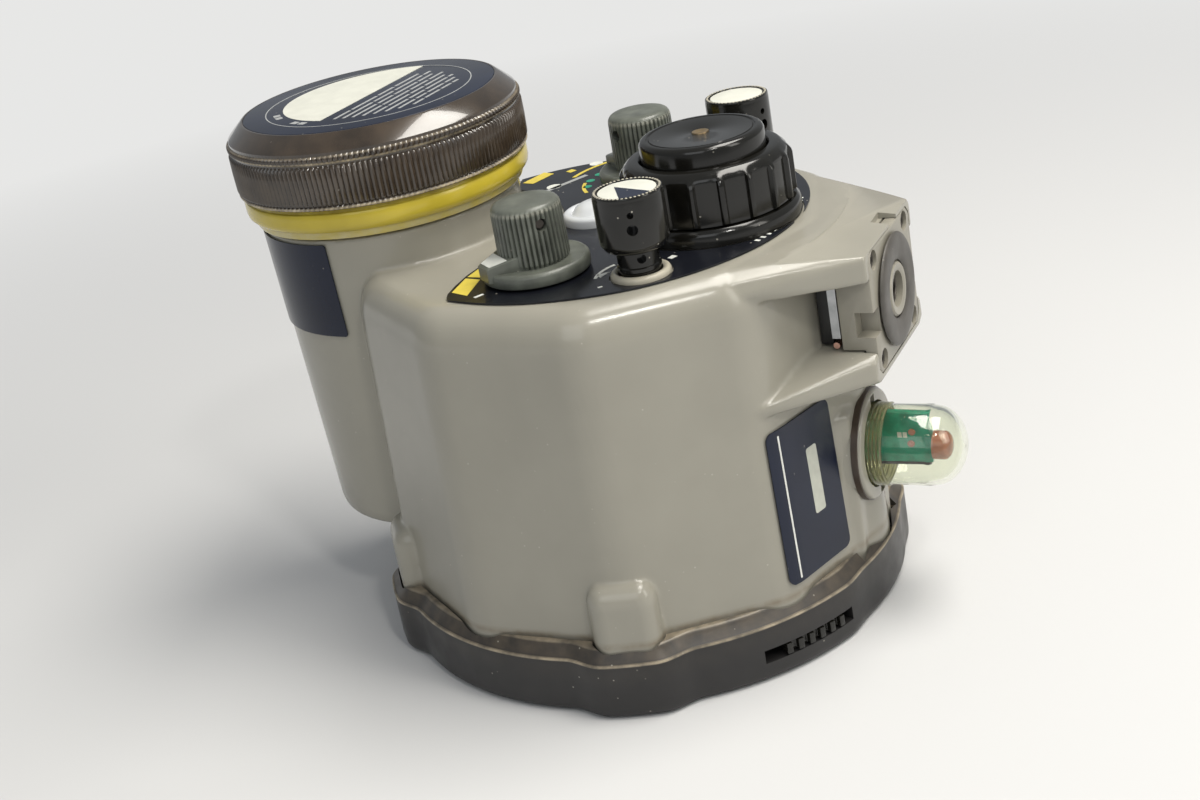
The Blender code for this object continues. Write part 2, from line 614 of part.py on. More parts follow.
def make_bezel():
    shell = loft([
        bezel_ring(1.0 * MM, 0),
        bezel_ring(0, 1.0 * MM),
        bezel_ring(0, BEZEL_HEIGHT - 1.5 * MM),
        bezel_ring(1.2 * MM, BEZEL_HEIGHT),
    ])
    bezel = add("front_bezel", shell, "bezel_black")
    seat = HEAD_FRONT_Z - CLEARANCE
    top = BEZEL_HEIGHT + MM
    opening = turned([
        (BEZEL_LIP_RADIUS - MM, -MM),
        (BEZEL_LIP_RADIUS, BEZEL_LIP_THICK - MM),
        (BEZEL_LIP_RADIUS, BEZEL_LIP_THICK),
        (WINDOW_RADIUS + CLEARANCE, BEZEL_LIP_THICK),
        (WINDOW_RADIUS + CLEARANCE, top),
    ], 48)
    pocket = loft([faceted(head_flat(seat) + CLEARANCE, FACET_ROUND, z) for z in (seat, top)])
    wide = PILLAR_HALF_Y + CLEARANCE
    pillar = box((PILLAR_X / 2, -wide, seat), (PILLAR_X + CLEARANCE, wide, top))
    cut(bezel, tool("cut_window", opening), tool("cut_head", pocket), tool("cut_pillar", pillar))
    for i, angle in boss_angles().items():
        hole = loft([boss_ring(CLEARANCE, z) for z in (seat, top)])
        cut(bezel, tool(f"cut_boss_{i}", hole, (0, 0, 0), (0, 0, angle)))
    head_z = BEZEL_SCREW_SINK + BEZEL_SCREW_HEAD_THICK
    for i, place in enumerate(bezel_screw_places()):
        hole = turned([
            (BEZEL_SCREW_HEAD + CLEARANCE, -MM),
            (BEZEL_SCREW_HEAD + CLEARANCE, head_z + CLEARANCE),
            (BEZEL_SCREW_RADIUS + CLEARANCE, head_z + CLEARANCE),
            (BEZEL_SCREW_RADIUS + CLEARANCE, seat + MM),
        ], 16)
        cut(bezel, tool(f"cut_screw_head_{i}", hole, place))
        screw = turned([
            (BEZEL_SCREW_HEAD, BEZEL_SCREW_SINK),
            (BEZEL_SCREW_HEAD, head_z),
            (BEZEL_SCREW_RADIUS, head_z),
            (BEZEL_SCREW_RADIUS, BOSS_TOP_Z - 4.5 * MM),
        ], 12)
        add(f"bezel_screw_{i + 1}", screw, "steel", place)
    make_catch(bezel)


def make_catch(bezel):
    """A short ribbed slider in a slot of the bezel, which runs round the head's axis."""
    half = CATCH_SPAN / 2
    start = CATCH_CENTRE - half - CATCH_BACK
    end = CATCH_CENTRE + half + CATCH_AHEAD
    low = CATCH_Z - CATCH_HEIGHT / 2
    high = CATCH_Z + CATCH_HEIGHT / 2
    reach = BEZEL_RADIUS + BEZEL_BULGE + 2 * MM
    slot = arc(reach, start, end, 8) + arc(CATCH_INNER_RADIUS - CLEARANCE, end, start, 8)
    cut(bezel, tool("cut_catch_slot", prism(slot, low - CLEARANCE, high + CLEARANCE)))
    steps = 2 * CATCH_RIBS - 1
    rib = CATCH_SPAN / steps
    outline = []
    for i in range(steps):
        radius = BEZEL_RADIUS + CATCH_PROUD - (i % 2) * CATCH_RIB_DEPTH
        first = CATCH_CENTRE - half + i * rib
        outline += arc(radius, first, first + rib, 1)
    outline += arc(CATCH_INNER_RADIUS, CATCH_CENTRE + half, CATCH_CENTRE - half, 4)
    add("filter_catch", prism(outline, low, high), "gloss_black")


def make_window():
    add("front_window", rod(WINDOW_RADIUS, WINDOW_Z, WINDOW_Z + WINDOW_THICK, 48), "window_glass")
    out = WINDOW_RADIUS - 0.1 * MM
    top = GASKET_Z + GASKET_HEIGHT
    ring = [(out - GASKET_WIDTH, GASKET_Z), (out, GASKET_Z), (out, top), (out - GASKET_WIDTH, top)]
    add("window_gasket", turned(ring, 40, ringed=True), "seal_black")


def reflector_back():
    """The height of the reflector's flat back."""
    return REFLECTOR_RIM_Z + REFLECTOR_DEPTH * 0.84 + 0.6 * MM + REFLECTOR_SHEET


def make_light_source():
    rim = REFLECTOR_RIM_RADIUS
    radii = [rim * share for share in (1.0, 0.82, 0.62, 0.4)]
    face = [(r, REFLECTOR_RIM_Z + REFLECTOR_DEPTH * (1 - (r / rim) ** 2)) for r in radii]
    flat_z = reflector_back() - REFLECTOR_SHEET
    face.append((0.3 * rim, flat_z))
    back = [(r, z + REFLECTOR_SHEET) for r, z in face]
    back[0] = (rim, REFLECTOR_RIM_Z + REFLECTOR_SHEET / 2)
    add("reflector", turned(face[::-1] + back, 32), "reflector_silver")
    half = FLASH_TUBE_HALF
    shape = [
        (FLASH_TUBE_RADIUS - 0.7 * MM, -half),
        (FLASH_TUBE_RADIUS, MM - half),
        (FLASH_TUBE_RADIUS, half - MM),
        (FLASH_TUBE_RADIUS - 0.7 * MM, half),
    ]
    tube_z = REFLECTOR_RIM_Z + FLASH_TUBE_Z
    for side, word in ((-1, "left"), (1, "right")):
        place = (side * FLASH_TUBE_X, 0, tube_z)
        add(f"flash_tube_{word}", turned(shape, 12), "lamp_white", place, ALONG_Y)
    top = flat_z - CLEARANCE
    wide = FOCUS_LAMP_RADIUS
    lamp = [(0.6 * wide, top - wide), (0.9 * wide, top - 0.8 * wide), (wide, top - 0.5 * wide), (wide, top)]
    add("focus_lamp", turned(lamp, 20), "lamp_white")


def make_electronics():
    floor = reflector_back() + 0.4 * MM
    top = CONTROL_BOARD_Z - 0.5 * MM
    edge = CAPACITOR_RADIUS - MM
    can = [(edge, floor), (CAPACITOR_RADIUS, floor + MM), (CAPACITOR_RADIUS, top - MM), (edge, top)]
    add("main_capacitor", turned(can, 24), "cell_wrap", (CAPACITOR_X, 0, 0))
    board_x = CAPACITOR_X + CAPACITOR_RADIUS + 0.4 * MM
    coil_x = board_x + BOARD_THICK
    board = box((board_x, -MAIN_BOARD_HALF_Y, floor), (coil_x, MAIN_BOARD_HALF_Y, top))
    add("main_board", board, "board_green")
    low = (coil_x + CLEARANCE, TRANSFORMER_Y, floor + 4 * MM)
    high = tuple(corner + size for corner, size in zip(low, TRANSFORMER_SIZE))
    add("trigger_transformer", box(low, high), "collar_yellow")
    outline = [(x * MM, y * MM) for x, y in CONTROL_BOARD_HALF[::-1]]
    outline += [(x * MM, -y * MM) for x, y in CONTROL_BOARD_HALF]
    add("control_board", prism(outline, CONTROL_BOARD_Z, CONTROL_BOARD_Z + BOARD_THICK), "board_green")


def make_sleeve():
    """The battery tube's liner, with the flange that shows and the neck that the cap screws on."""
    flange_z = TUBE_TOP_Z + CLEARANCE
    top = SLEEVE_FLANGE_TOP_Z
    sleeve = turned([
        (SLEEVE_RADIUS, SLEEVE_FOOT_Z),
        (SLEEVE_RADIUS, flange_z),
        (SLEEVE_FLANGE_RADIUS - 1.2 * MM, flange_z),
        (SLEEVE_FLANGE_RADIUS, flange_z + 1.2 * MM),
        (SLEEVE_FLANGE_RADIUS, top),
        (NECK_RADIUS, top),
        (NECK_RADIUS, top + 0.5 * NECK_HEIGHT),
        (NECK_RADIUS + THREAD_DEPTH, top + 0.6 * NECK_HEIGHT),
        (NECK_RADIUS, top + 0.7 * NECK_HEIGHT),
        (NECK_RADIUS, top + NECK_HEIGHT),
        (SLEEVE_BORE, top + NECK_HEIGHT),
        (SLEEVE_BORE, SLEEVE_FOOT_Z + SLEEVE_FLOOR),
    ])
    add("battery_sleeve", sleeve, "collar_yellow", (BATTERY_X, 0, 0))
    section = [pi / 3 * i for i in range(6)]
    thick = 0.55 * MM
    middle = (NECK_RADIUS + 0.3 * MM + thick, top + 0.4 * MM + thick)
    ring = [(middle[0] + thick * cos(a), middle[1] + thick * sin(a)) for a in section]
    add("battery_o_ring", turned(ring, 32, ringed=True), "seal_black", (BATTERY_X, 0, 0))


def make_cells():
    place = (BATTERY_X, 0, 0)
    wide = SLEEVE_BORE - CLEARANCE
    plate = rod(wide, CONTACT_Z, CONTACT_Z + CONTACT_THICK, 32)
    add("bottom_contact_plate", plate, "brass", place)
    shape = rod(wide, CELL_Z + CLEARANCE, CELL_TOP_Z - 2 * CELL_NUB, 32)
    holder = add("cell_holder", shape, "holder_white", place)
    sides = (-CELL_OFFSET, CELL_OFFSET)
    for i, (x, y) in enumerate([(x, y) for x in sides for y in sides]):
        here = (BATTERY_X + x, y, 0)
        bore = rod(CELL_RADIUS + CLEARANCE, CELL_Z - MM, CELL_TOP_Z, 16)
        cut(holder, tool(f"cut_cell_{i}", bore, here))
        shoulder = CELL_TOP_Z - CELL_NUB
        cell = turned([
            (CELL_RADIUS, CELL_Z),
            (CELL_RADIUS, shoulder),
            (CELL_NUB_RADIUS, shoulder),
            (CELL_NUB_RADIUS, CELL_TOP_Z),
        ], 16)
        add(f"aa_cell_{i + 1}", cell, "cell_wrap", here)


def make_battery_cap():
    """The screw cap, the film in its top and the contact plate that hangs in it."""
    place = (BATTERY_X, 0, 0)
    roof = CAP_TOP_Z - CAP_ROOF - 0.2 * MM
    low = SLEEVE_FLANGE_TOP_Z + 0.2 * MM
    bore = NECK_RADIUS + THREAD_DEPTH + 0.35 * MM
    seal = NECK_RADIUS + 1.9 * MM
    film = CAP_LABEL_RADIUS + CLEARANCE
    cap = turned([
        (film, CAP_TOP_Z - CAP_LABEL_THICK - CLEARANCE),
        (film, CAP_TOP_Z),
        (CAP_TOP_RADIUS, CAP_TOP_Z),
        (CAP_RADIUS - 0.4 * MM, CAP_TOP_Z - 2.9 * MM),
        (CAP_RADIUS, CAP_TOP_Z - 3.9 * MM),
        (CAP_RADIUS - 0.4 * MM, low),
        (seal, low),
        (seal, low + 2.4 * MM),
        (bore, low + 2.9 * MM),
        (bore, roof),
    ], 44)
    add("battery_cap", cap, "cap_smoke", place)
    label = rod(CAP_LABEL_RADIUS, CAP_TOP_Z - CAP_LABEL_THICK, CAP_TOP_Z, 40)
    add("cap_label", label, "label_navy", place)
    foot = CELL_TOP_Z + 0.5 * MM
    plate = turned([
        (SLEEVE_BORE - CLEARANCE, foot),
        (SLEEVE_BORE - CLEARANCE, foot + 2 * MM),
        (SLEEVE_BORE / 2, foot + 2 * MM),
        (SLEEVE_BORE / 2, roof - CLEARANCE),
    ], 32)
    add("cap_contact_plate", plate, "brass", place)


def make_dial(word, side):
    """A knob on its shaft, with a round skirt and a pointer arm, and the screw that grips the shaft."""
    place = (0, side * KNOB_Y, 0)
    low = PANEL_Z + SKIRT_GAP
    skirt_top = low + SKIRT_THICK
    top = PANEL_Z + KNOB_HEIGHT
    roof = top - KNOB_ROOF
    shape = turned([
        (KNOB_SHAFT_RADIUS + CLEARANCE, roof),
        (KNOB_SHAFT_RADIUS + CLEARANCE, low),
        (SKIRT_RADIUS, low),
        (SKIRT_RADIUS, skirt_top - 0.8 * MM),
        (SKIRT_RADIUS - 0.8 * MM, skirt_top),
        (KNOB_RADIUS, skirt_top),
        (KNOB_RADIUS - 0.2 * MM, top - 0.7 * KNOB_ROUND),
        (KNOB_RADIUS - 1.0 * MM, top - 0.2 * KNOB_ROUND),
        (KNOB_RADIUS - KNOB_ROUND, top),
    ], 24)
    knob = add(f"{word}_knob", shape, "knob_slate", place)
    tip = (-SKIRT_RADIUS - 1.2 * MM, -ARM_HALF_WIDTH, low + 0.2 * MM)
    arm = box(tip, (MM - KNOB_RADIUS, ARM_HALF_WIDTH, skirt_top + ARM_RISE))
    join(knob, tool(f"join_{word}_arm", arm, place, (0, 0, KNOB_TURNS[word])))
    here = (0, side * KNOB_Y, top - GRUB_DEPTH)
    turn = (0, pi / 2, GRUB_TURN + KNOB_TURNS[word])
    hole = rod(GRUB_RADIUS + CLEARANCE, KNOB_SHAFT_RADIUS, KNOB_RADIUS + MM)
    cut(knob, tool(f"cut_{word}_grub", hole, here, turn))
    shaft = rod(KNOB_SHAFT_RADIUS, SYNC_BODY_FOOT_Z + CLEARANCE, roof - CLEARANCE, 16)
    add(f"{word}_shaft", shaft, "steel", place)
    grub = rod(GRUB_RADIUS, KNOB_SHAFT_RADIUS + CLEARANCE, KNOB_RADIUS - MM, 8)
    add(f"{word}_grub_screw", grub, "steel", here, turn)


def make_lock(word, side):
    """A knob on a rod that pushes in and turns, with the collar that guides it."""
    place = (LOCK_X, side * LOCK_Y, 0)
    bore = LOCK_ROD_RADIUS + CLEARANCE
    base = PANEL_Z + CLEARANCE
    top = base + LOCK_COLLAR_THICK
    wide = LOCK_COLLAR_RADIUS
    collar = [(bore, base), (wide, base), (wide - 0.2 * MM, top), (bore, top)]
    add(f"{word}_lock_collar", turned(collar, 20, ringed=True), "housing_grey", place)
    foot = PANEL_Z + LOCK_LIFT
    stem = rod(LOCK_ROD_RADIUS, PANEL_Z - LOCK_ROD_DEPTH, foot - CLEARANCE, 20)
    add(f"{word}_lock_rod", stem, "gloss_black", place)
    knob = turned([
        (LOCK_RADIUS - 0.8 * MM, foot),
        (LOCK_RADIUS, foot + 1.4 * MM),
        (LOCK_RADIUS, foot + LOCK_LENGTH - 0.5 * MM),
        (LOCK_RADIUS - 0.5 * MM, foot + LOCK_LENGTH),
    ], 24)
    add(f"{word}_lock_knob", knob, "gloss_black", place)


def make_sync_port():
    place = (SYNC_X, 0, 0)
    base = PANEL_Z + CLEARANCE
    socket = turned([
        (SYNC_BODY_RADIUS, SYNC_BODY_FOOT_Z),
        (SYNC_BODY_RADIUS, base),
        (SYNC_COLLAR_RADIUS, base),
        (SYNC_COLLAR_RADIUS, SYNC_COLLAR_TOP_Z - MM),
        (SYNC_COLLAR_RADIUS - MM, SYNC_COLLAR_TOP_Z),
        (SYNC_NECK_RADIUS, SYNC_COLLAR_TOP_Z),
        (SYNC_NECK_RADIUS, SYNC_NECK_TOP_Z),
        (SYNC_BORE, SYNC_NECK_TOP_Z),
        (SYNC_BORE, SYNC_BODY_FOOT_Z + 4 * MM),
    ], 32)
    add("sync_socket", socket, "gloss_black", place)
    under = SYNC_NUT_TOP_Z - SYNC_NUT_CHAMFER
    shank = SYNC_BORE - CLEARANCE
    shoulder = SYNC_NECK_TOP_Z + CLEARANCE
    disc_top = SYNC_NUT_TOP_Z + SYNC_DISC_HEIGHT
    plug = turned([
        (shank - MM, SYNC_BODY_FOOT_Z + 8 * MM),
        (shank, SYNC_BODY_FOOT_Z + 9 * MM),
        (shank, shoulder),
        (SYNC_NECK_RADIUS - 0.5 * MM, shoulder),
        (SYNC_NECK_RADIUS - 0.5 * MM, under - CLEARANCE),
        (SYNC_DISC_RADIUS, under - CLEARANCE),
        (SYNC_DISC_RADIUS, disc_top - 0.8 * MM),
        (SYNC_DISC_RADIUS - 0.8 * MM, disc_top),
    ], 28)
    add("sync_plug", plug, "gloss_black", place)
    low = SYNC_COLLAR_TOP_Z + CLEARANCE
    inner = SYNC_DISC_RADIUS + CLEARANCE
    neck = SYNC_NECK_RADIUS + CLEARANCE
    nut = loft([
        ribbed(SYNC_NUT_RADIUS, low, SYNC_RIB_HEIGHT),
        ribbed(SYNC_NUT_RADIUS, under, SYNC_RIB_HEIGHT),
        ribbed(SYNC_NUT_RADIUS - SYNC_NUT_CHAMFER, SYNC_NUT_TOP_Z, 0),
        ribbed(inner, SYNC_NUT_TOP_Z, 0),
        ribbed(inner, under, 0),
        ribbed(neck, under, 0),
        ribbed(neck, low, 0),
    ], ringed=True)
    add("sync_nut", nut, "gloss_black", place)


def ribbed(radius, z, depth):
    """A ring of narrow ribs with wide grooves of this depth between them."""
    ring = []
    for i in range(SYNC_NUT_RIBS):
        for share, groove in ((0.0, 0), (0.16, 0), (0.24, 1), (0.92, 1)):
            reach = radius - groove * depth
            a = 2 * pi * (i + share) / SYNC_NUT_RIBS
            ring.append((reach * cos(a), reach * sin(a), z))
    return ring


def make_panel_label():
    """The rear panel's film, cut round the controls, and the ready lamp at its left edge."""
    base = PANEL_Z + LABEL_GAP / 2
    outline = arc(LABEL_RADIUS, LABEL_START, LABEL_END, 30)
    outline += [(x * MM, y * MM) for x, y in LABEL_LEFT_SIDE]
    plate = add("panel_label", prism(outline, base, base + LABEL_THICK), "label_navy")
    holes = [(SYNC_COLLAR_RADIUS, SYNC_X, 0, 40), (LAMP_RADIUS, LAMP_X, LAMP_Y, 24)]
    for side in (-1, 1):
        holes.append((KNOB_SHAFT_RADIUS, 0, side * KNOB_Y, 20))
        holes.append((LOCK_COLLAR_RADIUS, LOCK_X, side * LOCK_Y, 28))
    for i, (radius, x, y, steps) in enumerate(holes):
        hole = rod(radius + CLEARANCE, base - MM, base + MM, steps)
        cut(plate, tool(f"cut_label_{i}", hole, (x, y, 0)))
    foot = PANEL_Z + CLEARANCE
    lamp = turned([
        (LAMP_RADIUS, foot),
        (LAMP_RADIUS, foot + 0.45 * LAMP_HEIGHT),
        (0.6 * LAMP_RADIUS, foot + LAMP_HEIGHT),
    ], 24)
    add("ready_lamp", lamp, "lamp_white", (LAMP_X, LAMP_Y, 0))


def make_nameplate():
    """A bent plate that follows the facet beside the sensor's pillar and the corner next to it."""
    low = BEZEL_HEIGHT + NAMEPLATE_MARGIN
    high = MOUNT_Z - MOUNT_PLATE_HALF_Z - MOUNT_LIP - 1.5 * NAMEPLATE_MARGIN
    skins = []
    for offset, over in ((LABEL_GAP + LABEL_THICK, 0), (LABEL_GAP, MM)):
        levels = (low - over, high + over)
        skins.append(loft([faceted(head_flat(z) + offset, FACET_ROUND + offset, z) for z in levels]))
    plate = add("nameplate", skins[0], "label_navy")
    cut(plate, tool("cut_nameplate_back", skins[1]))
    near = PILLAR_HALF_Y + NAMEPLATE_MARGIN / 3
    side = 2 * pi / FACETS
    far = 2 * HEAD_FLAT_LOW
    outline = [(near / tan(side), -near), (far, -near), (far * cos(side), -far * sin(side))]
    combine(plate, tool("keep_nameplate_side", prism(outline, 0, PANEL_Z)), "INTERSECT")


def make_tube_label():
    """A bent plate that follows the battery tube's drafted wall."""
    high = TUBE_TOP_Z - 0.8 * MM
    foot = TUBE_FOOT_Z + TUBE_ROUND
    rings = []
    for z in (high - TUBE_LABEL_HEIGHT, high):
        inner = TUBE_RADIUS_LOW + TUBE_DRAFT * (z - foot) / (TUBE_TOP_Z - foot) + LABEL_GAP
        outline = arc(inner + LABEL_THICK, TUBE_LABEL_START, TUBE_LABEL_END, 12)
        outline += arc(inner, TUBE_LABEL_END, TUBE_LABEL_START, 12)
        rings.append([(x, y, z) for x, y in outline])
    add("tube_label", loft(rings), "label_navy", (BATTERY_X, 0, 0))


def mount_ring(x, grow):
    """The mount plate's outline at x."""
    y = MOUNT_HALF_Y + grow
    z = MOUNT_PLATE_HALF_Z + grow
    c = MOUNT_PLATE_CUT
    quarter = [(y, c - z), (y, z - c), (y - c, z)]
    outline = quarter + [(-py, pz) for py, pz in quarter[::-1]] + [(c - y, -z), (y - c, -z)]
    return [(x, py, MOUNT_Z + pz) for py, pz in outline]


def make_mount():
    place = (0, 0, MOUNT_Z)
    face = MOUNT_FACE_X
    block = add("mount_block", loft([mount_ring(x, 0) for x in (MOUNT_PLATE_X, face)]), "housing_grey")
    low = (STEM_X, -MOUNT_HALF_Y, MOUNT_Z - MOUNT_STEM_HALF_Z)
    high = (MOUNT_PLATE_X + MM, MOUNT_HALF_Y, MOUNT_Z + MOUNT_STEM_HALF_Z)
    boss = rod(MOUNT_RING_BORE, MOUNT_PLATE_X + MM, face + MOUNT_BOSS_PROUD, 28)
    join(block, tool("join_stem", box(low, high)), tool("join_mount_boss", boss, place, ALONG_X))
    bolt = rod(MOUNT_BOLT_RADIUS, STEM_X - MM, face + 3 * MM, 24)
    cut(block, tool("cut_bolt", bolt, place, ALONG_X))
    for side in (-1, 1):
        across = sorted((side * (MOUNT_HALF_Y - MOUNT_NOTCH_DEPTH), side * (MOUNT_HALF_Y + MM)))
        low = (MOUNT_PLATE_X - 1.2 * MM, across[0], MOUNT_Z - MOUNT_NOTCH_LOW)
        high = (face + MM, across[1], MOUNT_Z + MOUNT_NOTCH_HIGH)
        cut(block, tool(f"cut_notch_{side}", box(low, high)))
    head_x = face - MOUNT_SCREW_RECESS
    for i, here in enumerate(mount_screw_places()):
        hole = turned([
            (MOUNT_SCREW_RADIUS + CLEARANCE, MOUNT_PLATE_X - MM),
            (MOUNT_SCREW_RADIUS + CLEARANCE, head_x),
            (MOUNT_SCREW_HEAD + CLEARANCE, head_x),
            (MOUNT_SCREW_HEAD + CLEARANCE, face + MM),
        ], 14)
        cut(block, tool(f"cut_mount_head_{i}", hole, here, ALONG_X))
        screw = turned([
            (MOUNT_SCREW_RADIUS, MOUNT_PLATE_X - MOUNT_SCREW_DEPTH),
            (MOUNT_SCREW_RADIUS, head_x + 0.2 * MM),
            (MOUNT_SCREW_HEAD, head_x + 0.2 * MM),
            (MOUNT_SCREW_HEAD, face - 0.5 * MM),
        ], 10)
        add(f"mount_screw_{i + 1}", screw, "steel", here, ALONG_X)
    bore = MOUNT_RING_BORE + CLEARANCE
    wide = MOUNT_RING_BORE + MOUNT_RING_WIDTH + CLEARANCE
    back = face + CLEARANCE
    front = face + MOUNT_RING_THICK
    ring = [(bore, back), (wide, back), (wide, front), (bore, front)]
    add("mount_ring", turned(ring, 32, ringed=True), "rubber_grey", place, ALONG_X)
    make_nut_plate(place)


def make_nut_plate(place):
    """The steel plate with the arm bolt's nut behind the block, and the pin under it."""
    back_x = STEM_X - CLEARANCE
    front_x = back_x - NUT_PLATE_THICK
    floor = MOUNT_Z - MOUNT_STEM_HALF_Z
    wide = MOUNT_HALF_Y - 0.6 * MM
    shape = box((front_x, -wide, floor + 2 * MM), (back_x, wide, MOUNT_Z + MOUNT_STEM_HALF_Z - 0.2 * MM))
    plate = add("mount_nut_plate", shape, "steel")
    nut = rod(NUT_RADIUS, SLOT_WALL_X + 0.4 * MM, front_x + 0.5 * MM, 6)
    join(plate, tool("join_nut", nut, place, ALONG_X))
    thread = rod(MOUNT_BOLT_RADIUS, SLOT_WALL_X, back_x + MM, 24)
    cut(plate, tool("cut_nut_bore", thread, place, ALONG_X))
    here = (back_x - PIN_RADIUS - CLEARANCE, 0, floor + PIN_RADIUS + 0.1 * MM)
    add("mount_pin", rod(PIN_RADIUS, -wide, wide, 10), "brass", here, ALONG_Y)


def make_sensor():
    place = (0, 0, SENSOR_Z)
    wide = SENSOR_RADIUS
    bore = SENSOR_RADIUS - SENSOR_WALL
    dome = SENSOR_DOME_X
    shell = turned([
        (0.3 * wide, SENSOR_TIP_X - 0.4 * SENSOR_DOME),
        (bore - 1.4 * MM, dome + MM),
        (bore, dome - MM),
        (bore, SENSOR_BASE_X),
        (wide, SENSOR_BASE_X),
        (wide, dome - 1.6 * MM),
        (wide - 0.5 * MM, dome),
        (wide - 2.2 * MM, dome + 0.42 * SENSOR_DOME),
        (wide - 3.9 * MM, dome + 0.78 * SENSOR_DOME),
        (0.2 * wide, SENSOR_TIP_X),
    ], 24)
    add("sensor_tube", shell, "clear_plastic", place, ALONG_X)
    end = dome - 3.2 * MM
    half = SENSOR_BOARD_THICK / 2
    low = (SENSOR_BASE_X + 2 * MM, -half, SENSOR_Z - bore / 2)
    high = (end, half, SENSOR_Z + bore - 0.5 * MM)
    add("sensor_board", box(low, high), "board_green")
    diode = turned([(2.2 * MM, 0), (2.2 * MM, 2.4 * MM), (1.2 * MM, 3.4 * MM)], 16)
    add("sensor_photodiode", diode, "diode_red", (end + CLEARANCE, 0, SENSOR_Z), ALONG_X)


def main():
    clear_scene()
    strobe = bpy.data.objects.new("strobe", None)
    strobe.location = (HEAD_X, 0, 0)
    bpy.context.scene.collection.objects.link(strobe)
    make_housing()
    make_bezel()
    make_window()
    make_light_source()
    make_electronics()
    make_sleeve()
    make_cells()
    make_battery_cap()
    for word, side in (("mode", -1), ("power", 1)):
        make_dial(word, side)
    for word, side in (("front", -1), ("rear", 1)):
        make_lock(word, side)
    make_sync_port()
    make_panel_label()
    make_nameplate()
    make_tube_label()
    make_mount()
    make_sensor()


main()
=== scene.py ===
"""Looks of the underwater strobe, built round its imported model. Shapes are in millimetres."""

from math import cos, pi, radians, sin

import bmesh
import bpy
from mathutils import Euler, Matrix, Vector


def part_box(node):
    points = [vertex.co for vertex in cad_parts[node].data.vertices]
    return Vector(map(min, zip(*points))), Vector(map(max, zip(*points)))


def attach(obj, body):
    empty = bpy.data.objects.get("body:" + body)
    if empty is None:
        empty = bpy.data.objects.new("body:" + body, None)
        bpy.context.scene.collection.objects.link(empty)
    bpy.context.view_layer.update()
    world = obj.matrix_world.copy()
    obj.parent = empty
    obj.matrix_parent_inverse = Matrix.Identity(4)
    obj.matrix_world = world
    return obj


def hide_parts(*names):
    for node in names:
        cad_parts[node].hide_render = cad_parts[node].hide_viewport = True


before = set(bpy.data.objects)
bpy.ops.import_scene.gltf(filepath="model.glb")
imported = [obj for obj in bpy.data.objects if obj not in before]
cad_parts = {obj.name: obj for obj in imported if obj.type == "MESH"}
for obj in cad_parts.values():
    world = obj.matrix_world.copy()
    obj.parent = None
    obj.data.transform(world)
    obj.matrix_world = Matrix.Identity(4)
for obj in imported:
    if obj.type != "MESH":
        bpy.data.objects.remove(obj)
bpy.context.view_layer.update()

MM = 0.001
# Clearance between pieces, and the thickness of a printed mark
GAP = 0.3
INK = 0.05
GROUND = (0.8, 0.8, 0.79, 1)
DUST = (0.5, 0.47, 0.4)


def centre_x(node):
    low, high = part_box(node)
    return (low.x + high.x) / 2 / MM


def half_width(node):
    low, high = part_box(node)
    return (high.x - low.x) / 2 / MM


def top(node):
    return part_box(node)[1].z / MM


def foot(node):
    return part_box(node)[0].z / MM


# Places read from the frame, counted from the flash head's axis
HEAD = centre_x("front_window")
BATTERY = centre_x("battery_cap") - HEAD
SYNC = centre_x("sync_socket") - HEAD
LOCK = centre_x("front_lock_knob") - HEAD
SENSOR_Z = (top("sensor_tube") + foot("sensor_tube")) / 2
SENSOR_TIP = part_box("sensor_tube")[1].x / MM - HEAD
MOUNT_Z = (top("mount_ring") + foot("mount_ring")) / 2
MOUNT_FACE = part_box("rear_housing")[1].x / MM - HEAD
TUBE_TOP = top("rear_housing")
CAP_TOP = top("battery_cap")
CAP_FOOT = foot("battery_cap")
BEZEL_TOP = top("front_bezel")
LABEL_FOOT = foot("panel_label")
LABEL_TOP = top("panel_label")
PANEL = LABEL_FOOT - 0.1

# Each dial's side, with the turns of its arm at rest and of its side hole
DIALS = (("mode", -1, radians(51), radians(-40)), ("power", 1, radians(-25), radians(-120)))
# Distances of the controls' rows from the middle
KNOB_Y = 25.4
LOCK_Y = 26.6

# Flash head: rounded facets that lean in a little from LOW to HIGH, under a rounded rim
FACETS = 10
ROUND = 12.0
FLAT_LOW = 46.3
FLAT_HIGH = 44.4
RIM_HEIGHT = 8.0
RIM_START = PANEL - RIM_HEIGHT
RIM_INSET = 5.5
HEAD_FRONT = 8.0
WALL = 3
BEZEL_RADIUS = 49.9
PILLAR_X = 46.6
SEAT_FACE = 48.4
SEAT_RADIUS = 10.2

# Battery tube: its radius at the end of the rounded foot and at the top
TUBE_LOW = 23.2
TUBE_HIGH = 24.9
TUBE_BEND = 22.4

# Screw bosses, at four of the five corners
FIFTH = radians(72)
BOSSES = (-2, -1, 1, 2)
BOSS_OUT = 50.4
BOSS_HALF = 6.2
BOSS_TOP = 24.4
BOSS_DOME = 3.6
BOSS_SCREW = 47.5

# Mount block, with a screw in each corner
MOUNT_HALF = (12.9, 11.0)
MOUNT_CHAMFER = 1.5
MOUNT_SCREWS = [(y, z) for y in (-9.6, 9.6) for z in (-9, 9)]

# Filter catch, in degrees round the bezel
CATCH = -32.4
CATCH_HALF = 7.6
CATCH_BACK = 5.0
CATCH_AHEAD = 2.8


def take(shape, place=(0, 0, 0), turn=(0, 0, 0)):
    """Turns and moves a shape."""
    matrix = Matrix.Translation(place) @ Euler(turn).to_matrix().to_4x4()
    bmesh.ops.transform(shape, matrix=matrix, verts=shape.verts)
    return shape


